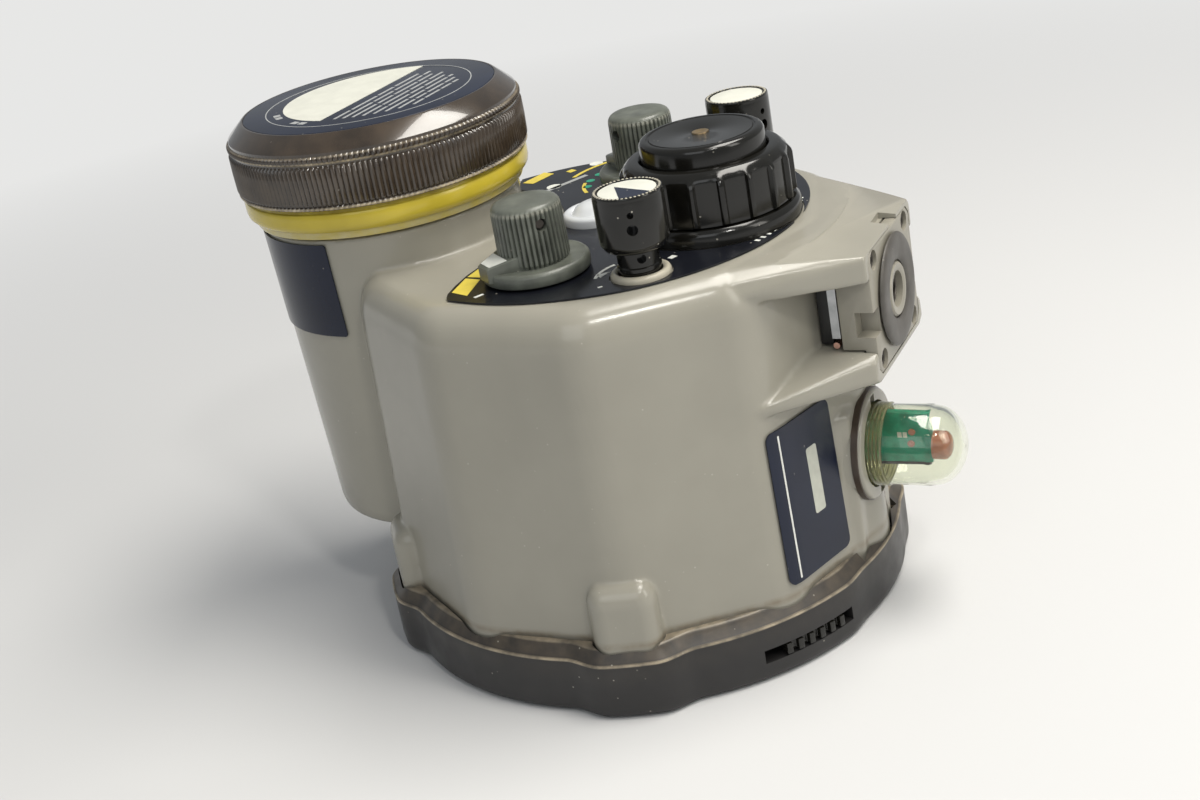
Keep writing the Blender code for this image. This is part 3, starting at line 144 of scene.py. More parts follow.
def together(*shapes):
    """Gathers shapes in one mesh without joining their surfaces."""
    whole = shapes[0]
    for shape in shapes[1:]:
        mesh = bpy.data.meshes.new("part")
        shape.to_mesh(mesh)
        shape.free()
        whole.from_mesh(mesh)
        bpy.data.meshes.remove(mesh)
    return whole


def loft(rings, ringed=False):
    shape = bmesh.new()
    rows = [[shape.verts.new(point) for point in ring] for ring in rings]
    count = len(rows[0])
    pairs = list(zip(rows, rows[1:]))
    if ringed:
        pairs.append((rows[-1], rows[0]))
    for low, high in pairs:
        for i in range(count):
            j = (i + 1) % count
            shape.faces.new((low[i], low[j], high[j], high[i]))
    if not ringed:
        shape.faces.new(rows[0][::-1])
        shape.faces.new(rows[-1])
    return shape


def turned(profile, steps=96, ringed=False):
    angles = [2 * pi * i / steps for i in range(steps)]
    return loft([[(r * cos(a), r * sin(a), z) for a in angles] for r, z in profile], ringed)


def above(base, rows):
    """A profile's rows, with their heights counted from a base."""
    return [(r, base + z, *rest) for r, z, *rest in rows]


def rod(radius, low, high, steps=48):
    return turned([(radius, low), (radius, high)], steps)


def rounded_rod(radius, low, high, edge, steps=64):
    """A round bar with rounded edges."""
    arc_steps = [radians(a) for a in (0, 22.5, 45, 67.5, 90)]
    over = [(radius - edge + edge * cos(a), high - edge + edge * sin(a)) for a in arc_steps]
    under = [(r, low + high - z) for r, z in over[::-1]]
    return turned(under + over, steps)


def prism(outline, low, high):
    return loft([[(x, y, z) for x, y in outline] for z in (low, high)])


def box(low, high):
    (x, y, z), (far_x, far_y, far_z) = low, high
    return prism([(x, y), (far_x, y), (far_x, far_y), (x, far_y)], z, far_z)


def hull(points):
    shape = bmesh.new()
    for point in points:
        shape.verts.new(point)
    found = bmesh.ops.convex_hull(shape, input=shape.verts)
    spare = [v for v in found["geom_interior"] if isinstance(v, bmesh.types.BMVert)]
    bmesh.ops.delete(shape, geom=spare, context="VERTS")
    return shape


def mirrored(points):
    return [(x, side * y, z) for x, y, z in points for side in (1, -1)]


def arc(radius, start, end, steps, centre=(0, 0)):
    angles = [start + (end - start) * i / steps for i in range(steps + 1)]
    return [(centre[0] + radius * cos(a), centre[1] + radius * sin(a)) for a in angles]


def sector(inner, outer, start, end, centre=(0, 0), steps=16):
    """A part of a ring between two turns, in degrees."""
    start, end = radians(start), radians(end)
    return arc(outer, start, end, steps, centre) + arc(inner, end, start, steps, centre)


def faceted(flat, rounding, z, steps=10):
    half = pi / FACETS
    reach = (flat - rounding) / cos(half)
    ring = []
    for corner in range(FACETS):
        middle = 2 * half * corner
        centre = (reach * cos(middle), reach * sin(middle))
        ring += [(x, y, z) for x, y in arc(rounding, middle - half, middle + half, steps, centre)]
    return ring


def head_flat(z):
    return FLAT_LOW - (z - BEZEL_TOP) / (RIM_START - BEZEL_TOP) * (FLAT_LOW - FLAT_HIGH)


def add(name, data):
    obj = bpy.data.objects.new(name, data)
    bpy.context.scene.collection.objects.link(obj)
    return obj


def to_object(name, shape):
    bmesh.ops.recalc_face_normals(shape, faces=shape.faces)
    mesh = bpy.data.meshes.new(name)
    shape.to_mesh(mesh)
    shape.free()
    return add(name, mesh)


def settle(obj):
    """Applies all modifiers."""
    bpy.context.view_layer.update()
    graph = bpy.context.evaluated_depsgraph_get()
    mesh = bpy.data.meshes.new_from_object(obj.evaluated_get(graph))
    obj.modifiers.clear()
    old = obj.data
    obj.data = mesh
    bpy.data.meshes.remove(old)
    return obj


def modify(obj, kind, **settings):
    step = obj.modifiers.new(kind.lower(), kind)
    for key, value in settings.items():
        setattr(step, key, value)
    return obj


def boolean(obj, operation, *shapes):
    for shape in shapes:
        other = to_object("tool", shape)
        modify(obj, "BOOLEAN", operation=operation, solver="EXACT", object=other)
        settle(obj)
        bpy.data.objects.remove(other)
    return obj


def cut(obj, *shapes):
    return boolean(obj, "DIFFERENCE", *shapes)


def join(obj, *shapes):
    return boolean(obj, "UNION", *shapes)


def soften(obj, width, segments=3, angle=40):
    """Rounds the edges of a solid."""
    modify(obj, "BEVEL", width=width, segments=segments, angle_limit=radians(angle), limit_method="ANGLE")
    return settle(obj)


def piece(obj, look, body="housing", replaces=(), sharp=40):
    """Puts a finished solid in its place in the frame, on its body and with its material."""
    if isinstance(obj, tuple):
        obj = to_object(*obj)
    obj.data.transform(Matrix.Scale(MM, 4) @ Matrix.Translation((HEAD, 0, 0)))
    obj.data.shade_smooth()
    obj.data.set_sharp_from_angle(angle=radians(sharp))
    obj.data.materials.clear()
    obj.data.materials.append(look)
    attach(obj, body)
    if replaces:
        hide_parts(*replaces)
    return obj


def film(name, shape, look, body="housing", replaces=()):
    """A film, or a mark printed on one."""
    piece((name, shape), look, body, replaces)


def put(tree, kind, inputs=(), **settings):
    """Adds a shader node. An input takes a value or another node's socket."""
    made = tree.nodes.new("ShaderNode" + kind)
    for key, value in settings.items():
        setattr(made, key, value)
    for key, value in dict(inputs).items():
        if isinstance(value, bpy.types.NodeSocket):
            tree.links.new(value, made.inputs[key])
        else:
            made.inputs[key].default_value = value
    return made


def noise(tree, size, detail=3.0):
    """Noise with features of about this size."""
    where = put(tree, "TexCoord").outputs["Object"]
    made = put(tree, "TexNoise", {"Vector": where, "Scale": 1 / (size * MM), "Detail": detail})
    return made.outputs["Fac"]


def ramp(tree, value, low, high, start=0.0, end=1.0):
    inputs = {"Value": value, "From Min": low, "From Max": high, "To Min": start, "To Max": end}
    return put(tree, "MapRange", inputs).outputs["Result"]


def mix(tree, share, first, second):
    made = put(tree, "Mix", data_type="RGBA")
    for key, value in ((0, share), (6, first), (7, second)):
        if isinstance(value, bpy.types.NodeSocket):
            tree.links.new(value, made.inputs[key])
        elif key:
            made.inputs[key].default_value = (*value[:3], 1)
        else:
            made.inputs[key].default_value = value
    return made.outputs[2]


def combine(tree, operation, first, second):
    return put(tree, "Math", {0: first, 1: second}, operation=operation).outputs[0]


def times(colour, factor):
    return tuple(c * factor for c in colour)


def band(tree, z, low, high, soft=0.12):
    """One between two heights, and nought elsewhere."""
    rise = ramp(tree, z, (low - soft) * MM, (low + soft) * MM)
    fall = ramp(tree, z, (high - soft) * MM, (high + soft) * MM, 1.0, 0.0)
    return combine(tree, "MULTIPLY", rise, fall)


def surface(name, colour, rough, blotch=0.08, blotch_size=14, grain=0.1, grain_size=0.25, dust=0.0,
            bands=(), **sockets):
    """A moulded or printed surface, with varied colour and gloss, dust, grain, and bands of dirt, wear,
    painted highlight and painted shade.

    A band is (lowest, highest, colour, share, softness), with heights in millimetres.
    """
    material = bpy.data.materials.new(name)
    material.use_nodes = True
    tree = material.node_tree
    shader = tree.nodes["Principled BSDF"]
    where = put(tree, "TexCoord").outputs["Object"]
    patches = ramp(tree, noise(tree, blotch_size), 0.3, 0.7)
    base = mix(tree, patches, times(colour, 1 - blotch), times(colour, 1 + blotch))
    z = put(tree, "SeparateXYZ", {"Vector": where}).outputs["Z"]
    for low, high, tint, share, soft in bands:
        uneven = ramp(tree, noise(tree, 3, 5), 0.35, 0.65, share * 0.35, share)
        base = mix(tree, combine(tree, "MULTIPLY", band(tree, z, low, high, soft), uneven), base, tint)
    if dust:
        cells = put(tree, "TexVoronoi", {"Vector": where, "Scale": 1 / (2.2 * MM)}).outputs["Distance"]
        spots = ramp(tree, cells, 0.05, 0.09, dust, 0.0)
        here = ramp(tree, noise(tree, 9, 2), 0.52, 0.6)
        base = mix(tree, combine(tree, "MULTIPLY", spots, here), base, DUST)
    tree.links.new(base, shader.inputs["Base Color"])
    gloss = ramp(tree, noise(tree, 5, 4), 0.3, 0.7, rough * 0.85, min(1.0, rough * 1.2))
    tree.links.new(gloss, shader.inputs["Roughness"])
    if grain:
        height = noise(tree, grain_size, 2)
        bump = put(tree, "Bump", {"Height": height, "Strength": grain, "Distance": 0.02 * MM})
        tree.links.new(bump.outputs["Normal"], shader.inputs["Normal"])
    for key, value in sockets.items():
        shader.inputs[key.replace("_", " ")].default_value = value
    return material


BROWN_DUST = (0.2, 0.16, 0.11)
# pale tan for worn edges, also painting the highlight that such edges catch
WEAR_AND_HIGHLIGHT_TAN = (0.5, 0.42, 0.3)
HOUSING = surface(
    "housing_grey", (0.305, 0.29, 0.242), 0.2, blotch=0.04, grain=0.05, grain_size=0.9, dust=0.5,
    bands=[(12.8, 13.9, BROWN_DUST, 0.8, 0.5)],
)
BLOCK = surface("mount_grey", (0.275, 0.258, 0.212), 0.33, blotch_size=5, grain=0.12, dust=0.4)
BEZEL = surface(
    "bezel_charcoal", (0.019, 0.018, 0.018), 0.4, blotch=0.25, grain=0.25, dust=0.5,
    bands=[
        (10.9, 14, (0.075, 0.06, 0.043), 0.9, 0.3), (7.5, 10.4, (0.05, 0.042, 0.033), 0.3, 1.5),
        # thin pale lines at the step edge and at the lip: wear with a painted highlight
        (10.5, 10.85, WEAR_AND_HIGHLIGHT_TAN, 0.7, 0.08), (12.95, 13.6, WEAR_AND_HIGHLIGHT_TAN, 0.4, 0.12),
    ],
)
# pale gold for the knurl's bead rows: wear with painted glints
BEAD_WEAR_AND_GLINT = (0.62, 0.52, 0.36)
CAP = surface(
    "cap_smoke", (0.04, 0.028, 0.018), 0.2, blotch=0.35, blotch_size=6, dust=0.5,
    Coat_Weight=0.7,
    bands=[
        # pale bands at the bead rows and at the upper ring's top edge: wear with painted glints
        (CAP_TOP - 4.95, CAP_TOP - 4.55, BEAD_WEAR_AND_GLINT, 0.9, 0.12),
        (CAP_FOOT + 0.1, CAP_FOOT + 0.6, BEAD_WEAR_AND_GLINT, 0.9, 0.12), (CAP_TOP - 3.75, CAP_TOP - 3.45, WEAR_AND_HIGHLIGHT_TAN, 0.4, 0.1),
        (CAP_FOOT + 1.2, CAP_TOP - 6, (0.075, 0.055, 0.036), 0.6, 1.0),
    ],
)
CAP_FACE = surface(
    "cap_navy", (0.004, 0.008, 0.024), 0.16, blotch=0.25, grain=0.04, dust=0.3, Specular_IOR_Level=0.35,
)
YELLOW = surface(
    "sleeve_yellow", (0.6, 0.47, 0.045), 0.18, blotch=0.15, grain=0.05, Transmission_Weight=0.15,
    bands=[
        (TUBE_TOP, TUBE_TOP + 2.0, (0.6, 0.53, 0.28), 0.9, 0.25),
        # darker just under the cap's rim: painted shade
        (CAP_FOOT - 0.9, CAP_FOOT, (0.2, 0.14, 0.02), 0.6, 0.2),
    ],
)
BLACK = surface("gloss_black", (0.008, 0.0075, 0.006), 0.15, blotch=0.2, grain=0.05, dust=0.7)
SLATE = surface(
    "knob_slate", (0.112, 0.12, 0.1), 0.34, blotch=0.25, blotch_size=3, grain=0.25, dust=0.5,
    bands=[(top("mode_knob") - 1.5, top("mode_knob") - 0.9, (0.36, 0.36, 0.3), 0.7, 0.2)],
)
PALE_COLLAR = surface("collar_pale", (0.42, 0.39, 0.31), 0.3, blotch=0.1, blotch_size=3, dust=0.3)
NAVY = surface(
    "label_navy", (0.006, 0.01, 0.026), 0.2, blotch=0.2, grain=0.04, dust=0.4, Specular_IOR_Level=0.35,
)
PANEL_FILM = surface(
    "panel_navy", (0.008, 0.009, 0.013), 0.22, blotch=0.3, grain=0.05, dust=0.7, Specular_IOR_Level=0.35,
)
WHITE = surface("print_white", (0.7, 0.71, 0.66), 0.45, blotch_size=2)
FAINT = surface("print_faint", (0.36, 0.37, 0.37), 0.45, blotch=0.1, blotch_size=2)
PRINT_YELLOW = surface("print_yellow", (0.7, 0.56, 0.08), 0.4, blotch_size=2)
PRINT_GREEN = surface("print_green", (0.03, 0.33, 0.2), 0.4, blotch_size=2)
CLEAR = surface(
    "clear_plastic", (0.93, 0.95, 0.85), 0.03, blotch=0.01, grain=0.0, Transmission_Weight=1.0, IOR=1.49,
)
THREAD = surface(
    "clear_thread", (0.62, 0.62, 0.36), 0.12, blotch=0.1, blotch_size=3, grain=0.0,
    Transmission_Weight=0.85, IOR=1.49,
)
BLANK = surface("blank_pale", (0.5, 0.51, 0.44), 0.4, blotch_size=2)
CREAM = surface("inlay_cream", (0.68, 0.68, 0.6), 0.35, blotch=0.05, blotch_size=3)
WINDOW = surface(
    "window_clear", (0.96, 0.98, 0.98), 0.03, blotch=0.01, grain=0.0, Transmission_Weight=1.0, IOR=1.49,
)
RUBBER = surface("ring_rubber", (0.07, 0.064, 0.056), 0.42, blotch=0.2, blotch_size=3, grain=0.3, dust=0.5)
SEAL_AND_SHADE_BLACK = surface("seal_rubber", (0.012, 0.012, 0.012), 0.5, grain=0.2)
SEAT_BROWN = surface("seat_brown", (0.05, 0.035, 0.025), 0.35, blotch=0.25, blotch_size=3)
STEEL = surface("steel", (0.42, 0.43, 0.44), 0.38, blotch=0.15, blotch_size=2, grain=0.2, Metallic=1.0)
DARK_STEEL = surface("screw_steel", (0.1, 0.09, 0.08), 0.4, grain=0.2, Metallic=1.0)
BRASS = surface("contact_brass", (0.55, 0.4, 0.22), 0.32, grain=0.15, Metallic=1.0)
COPPER = surface("pin_copper", (0.55, 0.33, 0.26), 0.35, grain=0.15, Metallic=1.0)
MIRROR = surface("reflector_metal", (0.82, 0.82, 0.82), 0.1, blotch=0.02, grain=0.05, Metallic=1.0)
BOARD = surface("board_green", (0.012, 0.3, 0.19), 0.3, blotch=0.25, blotch_size=1.5)
DIODE = surface("photodiode_resin", (0.42, 0.16, 0.1), 0.2, Coat_Weight=0.5)
CELL = surface("cell_wrap", (0.08, 0.08, 0.085), 0.3)
HOLDER = surface("holder_plastic", (0.7, 0.7, 0.68), 0.5)
TAPE = surface("transformer_tape", (0.6, 0.45, 0.05), 0.4)
CAN = surface("capacitor_can", (0.06, 0.06, 0.065), 0.35)
LAMP = surface("lamp_glass", (0.85, 0.86, 0.84), 0.08, blotch=0.03, Transmission_Weight=0.6)
LENS = surface("lamp_lens", (0.66, 0.68, 0.7), 0.12, blotch=0.05, Coat_Weight=0.6)


def mount_outline(x, grow):
    """A rectangle with its corners cut off."""
    y = MOUNT_HALF[0] + grow
    z = MOUNT_HALF[1] + grow
    c = MOUNT_CHAMFER
    half = [(y, c - z), (y, z - c), (y - c, z)]
    outline = half + [(-py, pz) for py, pz in half[::-1]] + [(c - y, -z), (y - c, -z)]
    return [(x, py, MOUNT_Z + pz) for py, pz in outline]


def boss_ring(grow, z):
    """A boss's outline, grown for its clearance or shrunk for its rounded top."""
    out = BOSS_OUT + grow
    wide = BOSS_HALF + grow
    bend = 3.2 + min(0, grow)
    corner = arc(bend, 0, pi / 2, 6, (out - bend, wide - bend))
    half = corner + [(FLAT_LOW - 2, wide)]
    return [(x, y, z) for x, y in half] + [(x, -y, z) for x, y in half[::-1]]


def at(shape, x, y=0.0):
    return take(shape, (x, y, 0))


def along_x(shape, y=0.0, z=0.0):
    return take(shape, (0, y, z), (0, pi / 2, 0))


def make_housing():
    """The head with its tube, flanges, pillar and bosses, joined with soft fillets and then hollowed."""
    rings = [faceted(head_flat(z), ROUND, z) for z in (HEAD_FRONT, RIM_START)]
    for step in range(1, 11):
        a = pi / 2 * step / 10
        inset = RIM_INSET * (1 - cos(a))
        rings.append(faceted(FLAT_HIGH - inset, ROUND - inset, RIM_START + RIM_HEIGHT * sin(a)))
    shell = to_object("housing_shell", loft(rings))
    tube = [(20.8, 20), (22.3, 20.35), (22.9, 21), (TUBE_LOW, TUBE_BEND), (TUBE_HIGH, TUBE_TOP)]
    end = 14.1
    deck = PANEL - GAP
    upper = MOUNT_Z + 6.5
    flange = hull(mirrored([
        (MOUNT_FACE, end - 1.4, 72.2), (MOUNT_FACE, end, 70.8), (MOUNT_FACE, end, upper),
        (FLAT_HIGH, end / 2, deck), (34.9, 24.1, deck), (35.9, 26.1, deck - 1.6), (35.9, 27.1, deck - 4),
        (35.9, 26.1, upper + 1), (27.9, end, deck), (27.9, end, upper),
    ]))
    lower = MOUNT_Z - 6.5
    wing = hull(mirrored([
        (MOUNT_FACE, end - 1.2, lower), (MOUNT_FACE, end + 0.4, lower - 1.3), (MOUNT_FACE, end + 0.7, 48.8),
        (MOUNT_FACE, end - 1.5, 47.8), (44.1, end, lower), (35.6, 29.4, 48.9), (35.6, 29.2, 47.5),
        (35.9, end, lower), (35.9, end, 47.7),
    ]))
    pillar = []
    for z, shrink in ((HEAD_FRONT, 0), (39.0, 0), (43.0, 4.0)):
        wide = 10.6 - shrink / 2
        pillar += [
            (PILLAR_X - shrink, 8.6 - shrink / 2, z), (PILLAR_X - 2 - shrink, wide, z), (23.3, wide, z),
        ]
    join(shell, at(turned(tube, 128), BATTERY), flange, wing, hull(mirrored(pillar)))
    start = BOSS_TOP - BOSS_DOME
    levels = [(0, HEAD_FRONT), (0, start)]
    for a in (pi / 8, pi / 4, 3 * pi / 8, pi / 2):
        levels.append((-2.8 * (1 - cos(a)), start + BOSS_DOME * sin(a)))
    for corner in BOSSES:
        join(shell, take(loft([boss_ring(grow, z) for grow, z in levels]), turn=(0, 0, corner * FIFTH)))
    modify(shell, "REMESH", mode="VOXEL", voxel_size=0.4)
    modify(shell, "SMOOTH", factor=0.5, iterations=5)
    settle(shell)
    modify(shell, "DECIMATE", ratio=0.3)
    settle(shell)
    seat = above(SEAT_FACE, [(SEAT_RADIUS, -0.5), (SEAT_RADIUS - 0.15, -0.15), (SEAT_RADIUS - 0.5, 0)])
    join(shell, along_x(turned([(SEAT_RADIUS, 43)] + seat), z=SENSOR_Z))
    hollow_housing(shell, lower, upper)
    piece(shell, HOUSING, replaces=["rear_housing"], sharp=50)


def hollow_housing(shell, lower, upper):
    """Cuts the hollow, the shallow land round the panel, the room for the mount and all holes."""
    inner = ROUND - WALL
    rings = [faceted(head_flat(z) - WALL, inner, z, 6) for z in (HEAD_FRONT - 1, RIM_START - WALL)]
    rings.append(faceted(FLAT_HIGH - WALL - RIM_INSET, inner - RIM_INSET, PANEL - WALL, 6))
    cavity = to_object("cavity", loft(rings))
    cut(cavity, at(turned([(20.8, 20), (TUBE_LOW, TUBE_BEND), (TUBE_HIGH, TUBE_TOP)]), BATTERY))
    modify(shell, "BOOLEAN", operation="DIFFERENCE", solver="EXACT", object=cavity)
    settle(shell)
    bpy.data.objects.remove(cavity)
    land = []
    for r, z in ((46.4, PANEL - 0.78), (46.1, PANEL - 0.5)):
        outline = sector(r, 62, -36, 36, steps=48)
        land.append([(x, y, z - 0.1 * max(0, (x * x + y * y) ** 0.5 - r)) for x, y in outline])
    land.append([(x, y, PANEL + 1) for x, y, z in land[-1]])
    cut(
        shell,
        loft(land),
        box((44.1, -25.8, lower), (MOUNT_FACE + 1, 25.8, upper)),
        loft([mount_outline(x, 0.1) for x in (52.4, MOUNT_FACE + 1)]),
        box((51.7, 0.9, MOUNT_Z + 11), (MOUNT_FACE + 1, 5.5, PANEL)),
        at(rod(21.7, 22.3, TUBE_TOP + 1, 96), BATTERY),
        at(rod(11.6, PANEL - 5, PANEL + 1, 64), SYNC),
        along_x(rod(8.0, 36.0, SEAT_FACE + 1, 64), z=SENSOR_Z),
        box((47.6, -1.1, SENSOR_Z - 9.6), (SEAT_FACE + 1, 1.1, SENSOR_Z + 9.6)),
    )
    holes = [at(rod(3.3, PANEL - 5, PANEL + 1, 32), 0, side * KNOB_Y) for side in (-1, 1)]
    neck = half_width("front_lock_rod") + GAP
    holes += [at(rod(neck, PANEL - 5, PANEL + 1, 32), LOCK, side * LOCK_Y) for side in (-1, 1)]
    holes += [take(at(rod(1.8, 7, 23, 24), BOSS_SCREW), turn=(0, 0, i * FIFTH)) for i in BOSSES]
    holes += [along_x(rod(1.5, 46.4, MOUNT_FACE, 24), y, MOUNT_Z + z) for y, z in MOUNT_SCREWS]
    cut(shell, *holes)


def bezel_reach(angle):
    """The bezel's radius there: it swells round each screw and draws in under the sensor."""
    reach = BEZEL_RADIUS
    fade = radians(9)
    for corner in range(5):
        away = abs((angle - corner * FIFTH + pi) % (2 * pi) - pi)
        bulge, flat = (2.52, radians(5)) if corner else (-1.0, radians(14))
        if away < flat:
            reach += bulge
        elif away < flat + fade:
            reach += bulge * (0.5 + 0.5 * cos(pi * (away - flat) / fade))
    return reach


def make_bezel():
    """The front ring with its slot for the catch, and the screws from the front."""
    profile = [
        (1.5, 0.0), (0.9, 0.15), (0.4, 0.5), (0.1, 1.1), (0, 2.0), (0, 5.0), (0.05, 9.8), (0.0, 10.3),
        (0.02, 10.6), (0.14, 10.78), (0.32, 10.84), (0.46, 10.86), (0.6, 11.0), (1.0, 11.5), (1.5, 12.1),
        (1.85, 12.6), (2.05, 12.95), (2.3, 13.14), (2.7, 13.2),
    ]
    angles = [2 * pi * i / 360 for i in range(360)]
    reach = [(bezel_reach(a), a) for a in angles]
    rings = [[((r - inset) * cos(a), (r - inset) * sin(a), z) for r, a in reach] for inset, z in profile]
    bezel = to_object("bezel_ring", loft(rings))
    seat = HEAD_FRONT - GAP
    cut(
        bezel,
        turned([(39, -1), (40, 1.4), (40, 2.4), (44.8, 2.4), (44.8, 15)], 160),
        loft([faceted(head_flat(seat) + GAP, ROUND, z) for z in (seat, 15)]),
        box((23.3, -10.9, seat), (PILLAR_X + GAP, 10.9, 15)),
    )
    for corner in BOSSES:
        turn = (0, 0, corner * FIFTH)
        cut(bezel, take(loft([boss_ring(GAP, z) for z in (seat, 15)]), turn=turn))
        recess = turned([(2.5, -1), (2.5, 3.4), (1.8, 3.4), (1.8, 9)], 32)
        cut(bezel, take(at(recess, BOSS_SCREW), turn=turn))
    start, end = radians(CATCH - CATCH_HALF - CATCH_BACK), radians(CATCH + CATCH_HALF + CATCH_AHEAD)
    slot = arc(56, start, end, 24) + arc(46.2, end, start, 24)
    cut(bezel, prism(slot, 3.6, 6.2))
    piece(bezel, BEZEL, replaces=["front_bezel"], sharp=35)
    make_catch()
    for number, corner in zip((4, 3, 2, 1), BOSSES[::-1]):
        profile = [(1.5, 22), (1.5, 3.1), (2.2, 3.1), (2.2, 1.4), (1.8, 1.0)]
        screw = to_object(f"bezel_screw_head_{5 - number}", turned(profile, 32))
        cut(screw, rod(1.1, 0, 2.2, 6))
        a = corner * FIFTH
        screw.data.transform(Matrix.Translation((BOSS_SCREW * cos(a), BOSS_SCREW * sin(a), 0)))
        piece(screw, STEEL, replaces=[f"bezel_screw_{number}"])


def make_catch():
    """The slider, with a rib on every other step of its outer wall."""
    steps = 11
    low = radians(CATCH - CATCH_HALF)
    step = radians(2 * CATCH_HALF / steps)
    outline = []
    for i in range(steps):
        outline += arc(50.1 - (i % 2) * 0.9, low + i * step, low + (i + 1) * step, 3)
    outline += arc(46.5, low + steps * step, low, 12)
    catch = soften(to_object("catch_slider", prism(outline, 3.9, 5.9)), 0.15, 2)
    piece(catch, BLACK, "filter_catch", ["filter_catch"])


def ribbed(radius, z, count, depth, shape):
    """A ring of ribs. The shape gives shares of a rib's pitch with the share of the groove's depth there."""
    ring = []
    for i in range(count):
        for share, groove in shape:
            reach = radius - groove * depth
            a = 2 * pi * (i + share) / count
            ring.append((reach * cos(a), reach * sin(a), z))
    return ring


KNURL = [(0.0, 0.0), (0.25, 0.25), (0.5, 1.0), (0.75, 0.25)]
FLUTE = [(0.0, 0.0), (0.22, 0.0), (0.4, 0.6), (0.5, 1.0), (0.6, 0.6), (0.78, 0.0)]
GRIP = [
    (0.0, 0.0), (0.05, 0.0), (0.13, 0.12), (0.2, 1.0), (0.35, 1.0), (0.55, 1.0), (0.75, 1.0), (0.92, 1.0),
    (0.97, 0.12),
]


def make_battery_end():
    """The knurled screw cap with its printed film, and the yellow liner under it."""
    count = 176
    depth = 0.38
    outer = CAP_TOP - 3.4
    rows = above(CAP_TOP, [
        (24.2, -0.7, 0), (24.2, -0.12, 0), (24.45, -0.1, 0), (24.75, -0.25, 0), (27.3, -2.5, 0),
        (27.65, -2.9, 0),
    ])
    rows += above(outer, [
        (27.7, 0, 0.1), (28.1, -0.25, 1), (28.25, -0.6, 1), (28.2, -1.1, 1), (27.9, -1.4, 0.3),
        (27.65, -1.55, 0), (27.65, -1.85, 0), (28.0, -2.05, 1), (28.25, -2.4, 1), (28.28, -5.5, 1),
    ])
    rows += above(CAP_FOOT, [
        (28.2, 1.3, 1), (27.95, 0.95, 1), (27.7, 0.8, 0.1), (28.0, 0.6, 0.8), (28.05, 0.3, 0.8),
        (27.7, 0.02, 0.2), (26.1, 0, 0), (26.1, 2.4, 0), (25.0, 2.9, 0),
    ])
    rows.append((25.0, CAP_TOP - 3.5, 0))
    cap = at(loft([ribbed(r, z, count, depth * share, KNURL) for r, z, share in rows]), BATTERY)
    piece(("cap_shell", cap), CAP, "cap", ["battery_cap"], sharp=30)
    make_cap_prints()
    flange = TUBE_TOP + GAP
    low = foot("battery_sleeve")
    sleeve = [(21.4, low)] + above(flange, [
        (21.4, 0), (25.2, 0), (25.9, 0.25), (26.1, 0.7), (26.2, 1.5), (26.9, 1.9), (27.35, 2.4), (27.5, 3.1),
        (27.5, 4.8), (27.3, 5.3), (27.0, 5.5), (26.9, 6), (24.2, 6),
    ])
    sleeve += above(flange + 6, [(24.2, 4.4), (24.65, 5.3), (24.2, 6.2), (24.2, 8.8), (20.2, 8.8)])
    sleeve = at(turned(sleeve + [(20.2, low + 1.8)], 144), BATTERY)
    piece(("sleeve_liner", sleeve), YELLOW, replaces=["battery_sleeve"], sharp=30)


def make_cap_prints():
    """The cap's film with a half-moon, broken lines, ticks and a ring."""
    z = CAP_TOP - 0.08
    face = at(rounded_rod(24.1, CAP_TOP - 0.4, z, 0.1, 128), BATTERY)
    film("cap_film", face, CAP_FACE, "cap", ["cap_label"])
    half = arc(17.9, radians(92), radians(268), 48, (0.6, 1.7))
    film("cap_half_moon", cap_mark(prism(half, z, z + INK)), CREAM, "cap")
    rules = []
    for i in range(8):
        x = 2.4 + 1.8 * i
        wide = (17.4**2 - x**2) ** 0.5 * 0.9
        start = -wide
        for k in range(4):
            stop = min(start + wide * (0.34 + 0.1 * ((3 * i + 2 * k) % 4)), wide)
            if stop - start > 0.6:
                rules.append(box((x, start, z), (x + 0.55, stop, z + INK)))
            start = stop + 0.6
    film("cap_rules", cap_mark(together(*rules)), FAINT, "cap")
    marks = [sector(17.0, 18.3, a, a + 5) for a in (-140, -133, -110, -103)]
    film("cap_marks", cap_mark(together(*[prism(m, z, z + INK) for m in marks])), FAINT, "cap")
    ring = turned([(19.6, z), (19.8, z), (19.8, z + INK), (19.6, z + INK)], 128, ringed=True)
    film("cap_ring_line", at(ring, BATTERY), FAINT, "cap")


def cap_mark(shape):
    """Sets a mark in the cap's film, turned a little as the film is."""
    return take(shape, (BATTERY, 0, 0), (0, 0, radians(-3)))


